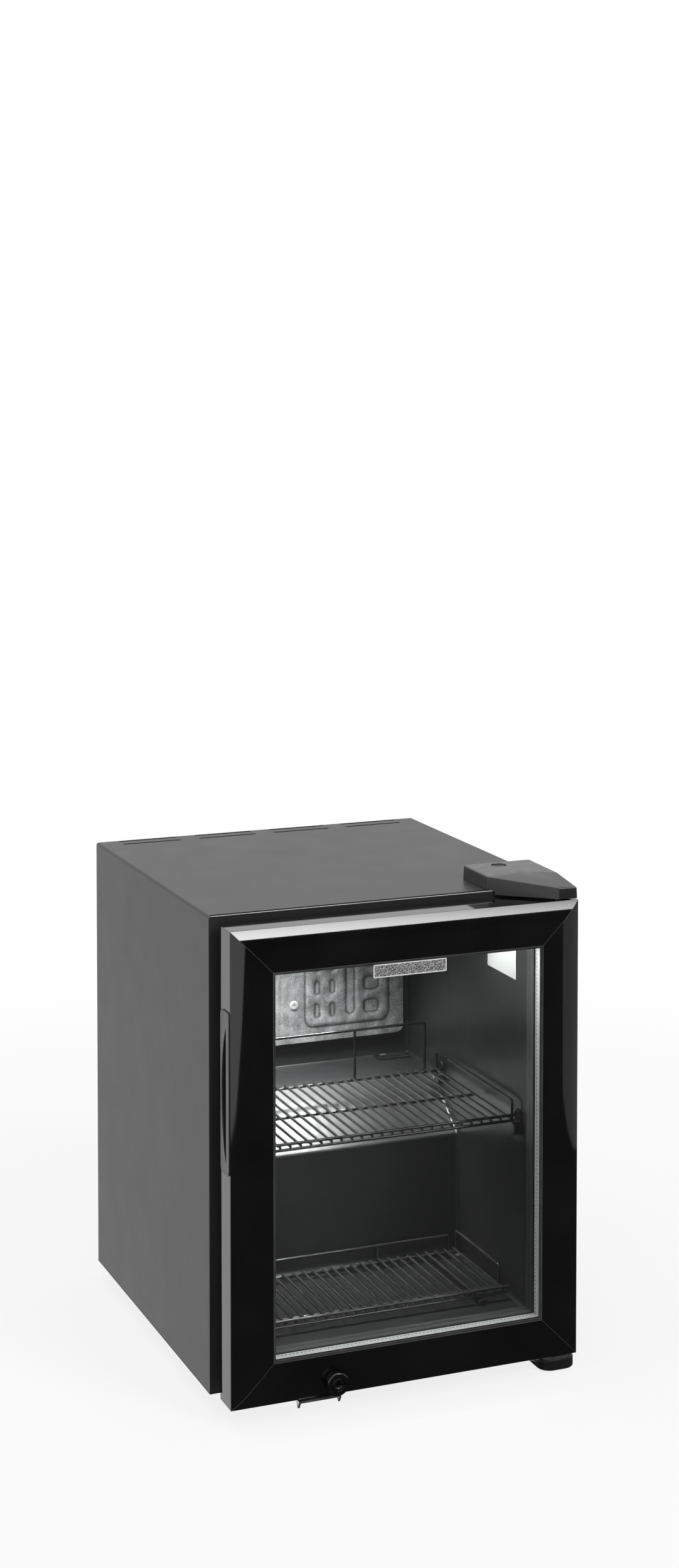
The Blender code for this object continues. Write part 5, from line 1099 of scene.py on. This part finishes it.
def linerShell(look):
    # at angle a round the junction the section lies at half - R + R sin a, moved inwards by R (1 - cos a);
    # inner corners lose that much of their fillet, outer ones gain it
    half, r = look["half"], look["junction"]
    fillets, bends = np.array(look["fillets"], float), np.array(look["bends"], float)
    sections = []
    for turn in np.linspace(0, np.pi / 2, 8):
        moved = r * (1 - math.cos(turn))
        corners = offsetCorners(look["corners"], -moved)
        corners[[0, -1], 0] = 0
        line = arcCorners(corners, np.maximum(fillets + bends * moved, 0.05), 7, closed=False)
        sections.append((half - r + r * math.sin(turn), line))
    grid = ringGrid([(line, -x) for x, line in sections[::-1]] + [(line, x) for x, line in sections], "x")
    shell = gridPatch(grid, wrapCols=False, capFirst=True, capLast=True)
    # the flange runs from the mouth out to the CAD box
    mouth = np.concatenate([grid[:, 0], grid[::-1, -1]])
    low, high = boxOf("inner_liner")
    floor, ceiling = look["corners"][0][1], look["corners"][-1][1]
    reach = np.array([high[0] / half, 1, (high[2] - low[2]) / (ceiling - floor)])
    outer = (mouth - [0, 0, (floor + ceiling) / 2]) * reach + [0, 0, (low[2] + high[2]) / 2]
    flange = gridPatch(np.stack([mouth, outer]))
    makePiece("liner_shell", [shell, flange], linerGloss, "cabinet", ["inner_liner"], 30,
              wall=look["sheet"])


def linerRibs(look):
    w, floor = look["ribWidth"] / 2, look["corners"][0][1]
    outline = arcCorners(rectangle(-w, w, floor - look["ribSink"], look["ribTop"]), look["ribRadii"], 6)
    ribs = repeated(prismPatch(outline, "y", *look["ribY"]), [(-look["ribX"], 0, 0), (look["ribX"], 0, 0)])
    makePiece("liner_floor_ribs", [ribs], linerGloss, "cabinet")


linerShell(linerSizes)
linerRibs(linerSizes)
print("liner built")


# evaporator: roll-bonded plate with two inflated panels

# besides the plate's shape, these sizes give in mm the width of the painted shade along the seams
plateSizes = dict(half=147, z=(241, 421), corner=9, face=306.6, rise=1.6, sheet=1.3, soft=5.0,
                  panelX=(28, 129), panelZ=(257, 400), panelCorner=11, rows=(275, 25.8, 5),
                  slots=(42.7, 60.8), slotHalf=(2.6, 7.3, 2.5), squareX=107.6, squareHalf=(8.4, 7.2, 4.4),
                  notchX=82.3, notchZ=(268.5, 390), notchHalf=(5.0, 4.75), fold=(0.5, 1.7), creaseShade=1.1,
                  grid=(262, 160), postX=125, postZ=(250, 412), postRadii=(4, 3), postGap=0.6)
screwSizes = dict(x=15, z=284, sink=0.5, radius=5.1, height=1.7, crossHalf=(0.55, 0.16),
                  crossEnds=(2, 0.35), head=[(0.5, -0.25), (1, -0.25), (1, 0.3), (0.96, 0.55), (0.86, 0.78),
                                             (0.68, 0.93), (0.4, 1), (0.01, 1)])


def inflated(distance, reach):  # 0 at the seam, rising steeply from it and levelling out at the reach
    t = np.clip(distance / reach, 0, 1)
    return t * (2 - t)


def seamDistance(look, x, z):
    # how far a point lies inside an inflated panel; its slots, squares and notches count as outside
    away = abs(x)
    (x0, x1), (z0, z1), (n0, n1) = look["panelX"], look["panelZ"], look["notchZ"]
    notchHalf, notchCorner = look["notchHalf"]
    panel = roundBoxDistance(away, z, (x0 + x1) / 2, (z0 + z1) / 2, (x1 - x0) / 2, (z1 - z0) / 2,
                             look["panelCorner"])
    first, pitch, count = look["rows"]
    middle = first + pitch * np.clip(np.round((z - first) / pitch), 0, count - 1)
    inside = [roundBoxDistance(away, z, x, middle, *look["slotHalf"]) for x in look["slots"]]
    inside.append(roundBoxDistance(away, z, look["squareX"], middle, *look["squareHalf"]))
    inside.append(roundBoxDistance(away, z, look["notchX"], (n0 + n1) / 2, notchHalf, (n1 - n0) / 2,
                                   notchCorner))
    return np.minimum.reduce([-panel, *inside])


def coldPlateSheet(look):
    # the front is a grid with the panels' rise and a shallow fold down the middle,
    # and a rim joins it to a flat back
    cols, rows = look["grid"]
    z = np.linspace(*look["z"], rows)[:, None]
    r = look["corner"]
    near = np.minimum(np.minimum(z - look["z"][0], look["z"][1] - z), r)
    half = look["half"] - r + np.sqrt(np.maximum(r * r - (r - near) ** 2, 0.01))
    x = half * np.linspace(-1, 1, cols)[None]
    deep, wide = look["fold"]
    lift = look["rise"] * inflated(seamDistance(look, x, z), look["soft"])
    y = look["face"] - lift + deep * np.exp(-(x / wide) ** 2)
    front = stack3(x, y, np.broadcast_to(z, x.shape))
    rim = np.concatenate([front[0, :-1], front[:-1, -1], front[-1, :0:-1], front[:0:-1, 0]])
    rear = rim * [1, 0, 1] + [0, look["face"] + look["sheet"], 0]
    sheet = [gridPatch(front, wrapCols=False), gridPatch(np.stack([rim, rear]), capLast=True)]
    plate = makePiece("cold_plate", sheet, coldPlate, "cabinet",
                      ["evaporator_plate"], 60)
    # painted shade in the seam creases: 1 on a seam, falling off as a bell curve
    places = np.empty(len(plate.data.vertices) * 3)
    plate.data.vertices.foreach_get("co", places)
    px, _, pz = ((places.reshape(-1, 3) - frameOrigin) / mm).T
    creaseShade = np.exp(-(seamDistance(look, px, pz) / look["creaseShade"]) ** 2)
    plate.data.attributes.new("seam", "FLOAT", "POINT").data.foreach_set("value", creaseShade)
    back = boxOf("evaporator_plate")[1][1]
    (wide, narrow), x = look["postRadii"], look["postX"]
    stem = [(wide, look["face"] + look["postGap"]), (wide, back), (narrow, back)]
    post = lathePatch(stem, (0, 0, 0), "y", 32)
    posts = repeated(post, [(side, 0, z) for side in (-x, x) for z in look["postZ"]])
    makePiece("cold_plate_posts", [posts], blackMoulding, "cabinet")


def coldPlateScrew(look):
    # a pan head with a cross cut in it, both as shares of the head's radius and height
    x, z, r, high = look["x"], look["z"], look["radius"], look["height"]
    face = plateSizes["face"] - look["sink"]
    head = lathePatch([(r * u, face - high * v) for u, v in look["head"]], (x, 0, z), "y", 36)
    a, b = (r * share for share in look["crossHalf"])
    y0, y1 = (face - high * share for share in look["crossEnds"])
    cuts = [[blockPatch(x - u, x + u, y0, y1, z - v, z + v)] for u, v in ((a, b), (b, a))]
    makePiece("cold_plate_screw", [head], screwZinc, "cabinet", ["evaporator_screw"], 40,
              cuts)


coldPlateSheet(plateSizes)
coldPlateScrew(screwSizes)
print("evaporator built")


# sensor clip on the ledge: a foot, a saddle over the probe, and the probe's bright end

sensorSizes = dict(foot=2.2, edge=0.8, saddle=4.6, saddleX=(124, 147), probe=1.9, probeX=(118, 146),
                   front=299.0, probeY=305.5, corners=(3, 2.4), saddleLift=1, probeSink=0.3,
                   probeEnd=[(0.6, 0.2), (1, 1.2)])


def sensorClip(look):
    low, high = boxOf("sensor_clip")
    z, front, edge, (wide, narrow) = low[2], look["front"], look["edge"], look["corners"]
    plan = arcCorners(rectangle(low[0], high[0], front, high[1]), wide, 5)
    inner = arcCorners(rectangle(low[0] + edge, high[0] - edge, front + edge, high[1]), narrow, 5)
    foot = closedPatch(ringGrid([(plan, z), (plan, z + look["foot"] - edge), (inner, z + look["foot"])], "z"))
    turn, r = np.linspace(0, np.pi, 15), look["saddle"]
    arch = np.stack([look["probeY"] + r * np.cos(turn), z + look["saddleLift"] + r * np.sin(turn)], 1)
    saddle = prismPatch(arch, "x", *look["saddleX"])
    makePiece("sensor_saddle", [foot, saddle], blackMoulding, "cabinet", ["sensor_clip"], 35)
    r, (x0, x1) = look["probe"], look["probeX"]
    end = [(share * r, x0 + along) for share, along in look["probeEnd"]]
    outline = [(poleRadius, x0), *end, (r, x1), (poleRadius, x1)]
    probe = lathePatch(outline, (0, look["probeY"], z + look["foot"] + r - look["probeSink"]), "x", 24)
    makePiece("sensor_probe", [probe], zincPlate, "cabinet")


sensorClip(sensorSizes)


# wire shelves

shelfSizes = dict(bar=1.4, rail=1.5, stop=1.5, pitch=11, count=28, half=154, drop=2.8, bend=3, overrun=0.5,
                  stopFoot=4.5, stopBehind=4.3, postThinner=0.1)
shelfLevels = [
    dict(name="upper", front=33, back=222, cross=127.5, height=222, finish=coatedWire,
         stopHalf=138, stopRise=51, posts=55, sideFront=37.3, sideRise=17),
    # the lower shelf takes the lighter wire copy: painted light on its bars
    dict(name="lower", front=46, back=171, cross=63, height=38, finish=litWireCopy,
         stopHalf=144, stopRise=14, posts=60, sideFront=68.3, sideRise=18),
]


def archPath(u0, u1, v0, v1, bend):  # up, across and down again, with round bends
    corners = [(u0, v0), (u0, v1), (u1, v1), (u1, v0)]
    return arcCorners(corners, [0, bend, bend, 0], 8, closed=False)


def wireShelf(sizes, look):
    name, front, back, h = look["name"], look["front"], look["back"], look["height"]
    bar, rail, stop, drop, over = (sizes[k] for k in ("bar", "rail", "stop", "drop", "overrun"))

    def wirePiece(word, patches, node):
        makePiece(name + word, patches, look["finish"], "cabinet", [name + "_shelf" + node], 50)

    places = (np.arange(sizes["count"]) - (sizes["count"] - 1) / 2) * sizes["pitch"]
    straight = wirePatch([(0, front - over, h), (0, back + over, h)], bar, (1, 0, 0), 12)
    bars = repeated(straight, [(x, 0, 0) for x in places])
    reach = sizes["half"] - rail
    low, high = (wirePatch([(-reach, y, z), (reach, y, z)], rail, (0, 0, 1), 16)
                 for y, z in ((0, h - drop), (front, h + drop)))
    rails = repeated(low, [(0, y, 0) for y in (front, look["cross"], back)])
    wirePiece("_wire_shelf", [bars, rails, high], "")
    # the stops behind and beside the shelf are bent up from under it
    foot, y, rise = h - sizes["stopFoot"] + stop, back + sizes["stopBehind"], h + look["stopRise"]
    line = archPath(-look["stopHalf"], look["stopHalf"], foot, rise, sizes["bend"])
    hoop = wirePatch(stack3(line[:, 0], y, line[:, 1]), stop, (0, 1, 0), 14)
    post = wirePatch([(0, y, foot), (0, y, rise)], stop - sizes["postThinner"], (0, 1, 0), 14)
    posts = repeated(post, [(-look["posts"], 0, 0), (look["posts"], 0, 0)])
    wirePiece("_rear_wire", [hoop, posts], "_back_stop")
    side = archPath(look["sideFront"], y, foot, h + look["sideRise"], sizes["bend"])
    for x, word in ((stop - sizes["half"], "left"), (sizes["half"] - stop, "right")):
        loop = wirePatch(stack3(x, side[:, 0], side[:, 1]), stop, (1, 0, 0), 14)
        wirePiece("_side_wire_" + word, [loop], "_stop_" + word)


for level in shelfLevels:
    wireShelf(shelfSizes, level)


clipSizes = dict(plate=1.6, corner=5, edge=(0.7, 0.6), lower=(6.4, 6.5), upper=(6.4, 5.5), proud=154.4,
                 dome=1.5, sunk=0.5)


def shelfClip(name, look):
    # a wall plate with two round bumps: the lower one carries the shelf, the upper one keeps it in place
    low, high = boxOf(name)
    sign = 1 if name.endswith("right") else -1
    tip, wall = sorted((abs(low[0]), abs(high[0])))
    face, (inset, step) = wall - look["plate"], look["edge"]
    box = (low[1], high[1], low[2], high[2])
    outline = arcCorners(rectangle(*box), look["corner"], 6)
    inner = arcCorners(insetRectangle(*box, inset), look["corner"] - inset, 6)
    rings = [(outline, sign * wall), (outline, sign * (face + step)), (inner, sign * face)]
    plate = closedPatch(ringGrid(rings, "x"))

    def bump(z, radius, end):
        r, turn, y = look["dome"], np.radians([0, 25, 50, 75]), (low[1] + high[1]) / 2
        dome = [(radius - r + r * math.cos(a), sign * (end + r - r * math.sin(a))) for a in turn]
        return lathePatch([(radius, sign * (wall - look["sunk"])), *dome], (0, y, z), "x", 32)

    (up, lowerRadius), (down, upperRadius) = look["lower"], look["upper"]
    bumps = [bump(low[2] + up, lowerRadius, tip), bump(high[2] - down, upperRadius, look["proud"])]
    piece = name.replace("shelf_clip", "shelf_hook")
    makePiece(piece, [plate, *bumps], blackMoulding, "cabinet", [name], 35)


for corner in ("front_left", "front_right", "back_left", "back_right"):
    shelfClip("shelf_clip_" + corner, clipSizes)
print("shelves built")


# bare badge plate on the glass, blank label on the right wall

badgeSizes = dict(x=(-38.5, 39), z=(405, 418), gap=0.02, thick=0.8, corner=(1.2, 0.15), border=0.9,
                  edge=0.2, sink=(0.15, 0.25), fieldInset=0.2, fieldThick=0.05)
labelSizes = dict(y=(40, 107.6), z=(363, 410), gap=0.03, thick=0.3, corner=0.6)


def badgePlate(look):
    # rings from the glass out to a raised border, then down to the sunk field
    face = boxOf("front_pane")[0][1] - look["gap"]
    front, b, edge, (aside, deep) = face - look["thick"], look["border"], look["edge"], look["sink"]

    def ring(inset):
        corner, least = look["corner"]
        return arcCorners(insetRectangle(*look["x"], *look["z"], inset), max(corner - inset, least), 5)

    floor = front + deep
    rings = [(0, face), (0, front + edge), (edge, front), (b, front), (b + aside, floor)]
    border = closedPatch(ringGrid([(ring(inset), y) for inset, y in rings], "y"))
    makePiece("bare_badge", [border], badgeSilver, "door")
    field = prismPatch(ring(b + look["fieldInset"]), "y", floor, floor - look["fieldThick"])
    makePiece("bare_badge_field", [field], badgeSpeckle, "door")


def blankWallLabel(look):
    wall = linerSizes["half"] - look["gap"]
    outline = arcCorners(rectangle(*look["y"], *look["z"]), look["corner"], 6)
    film = prismPatch(outline, "x", wall - look["thick"], wall)
    makePiece("blank_label", [film], blankLabel, "cabinet")


badgePlate(badgeSizes)
blankWallLabel(labelSizes)
print("badge and label built")
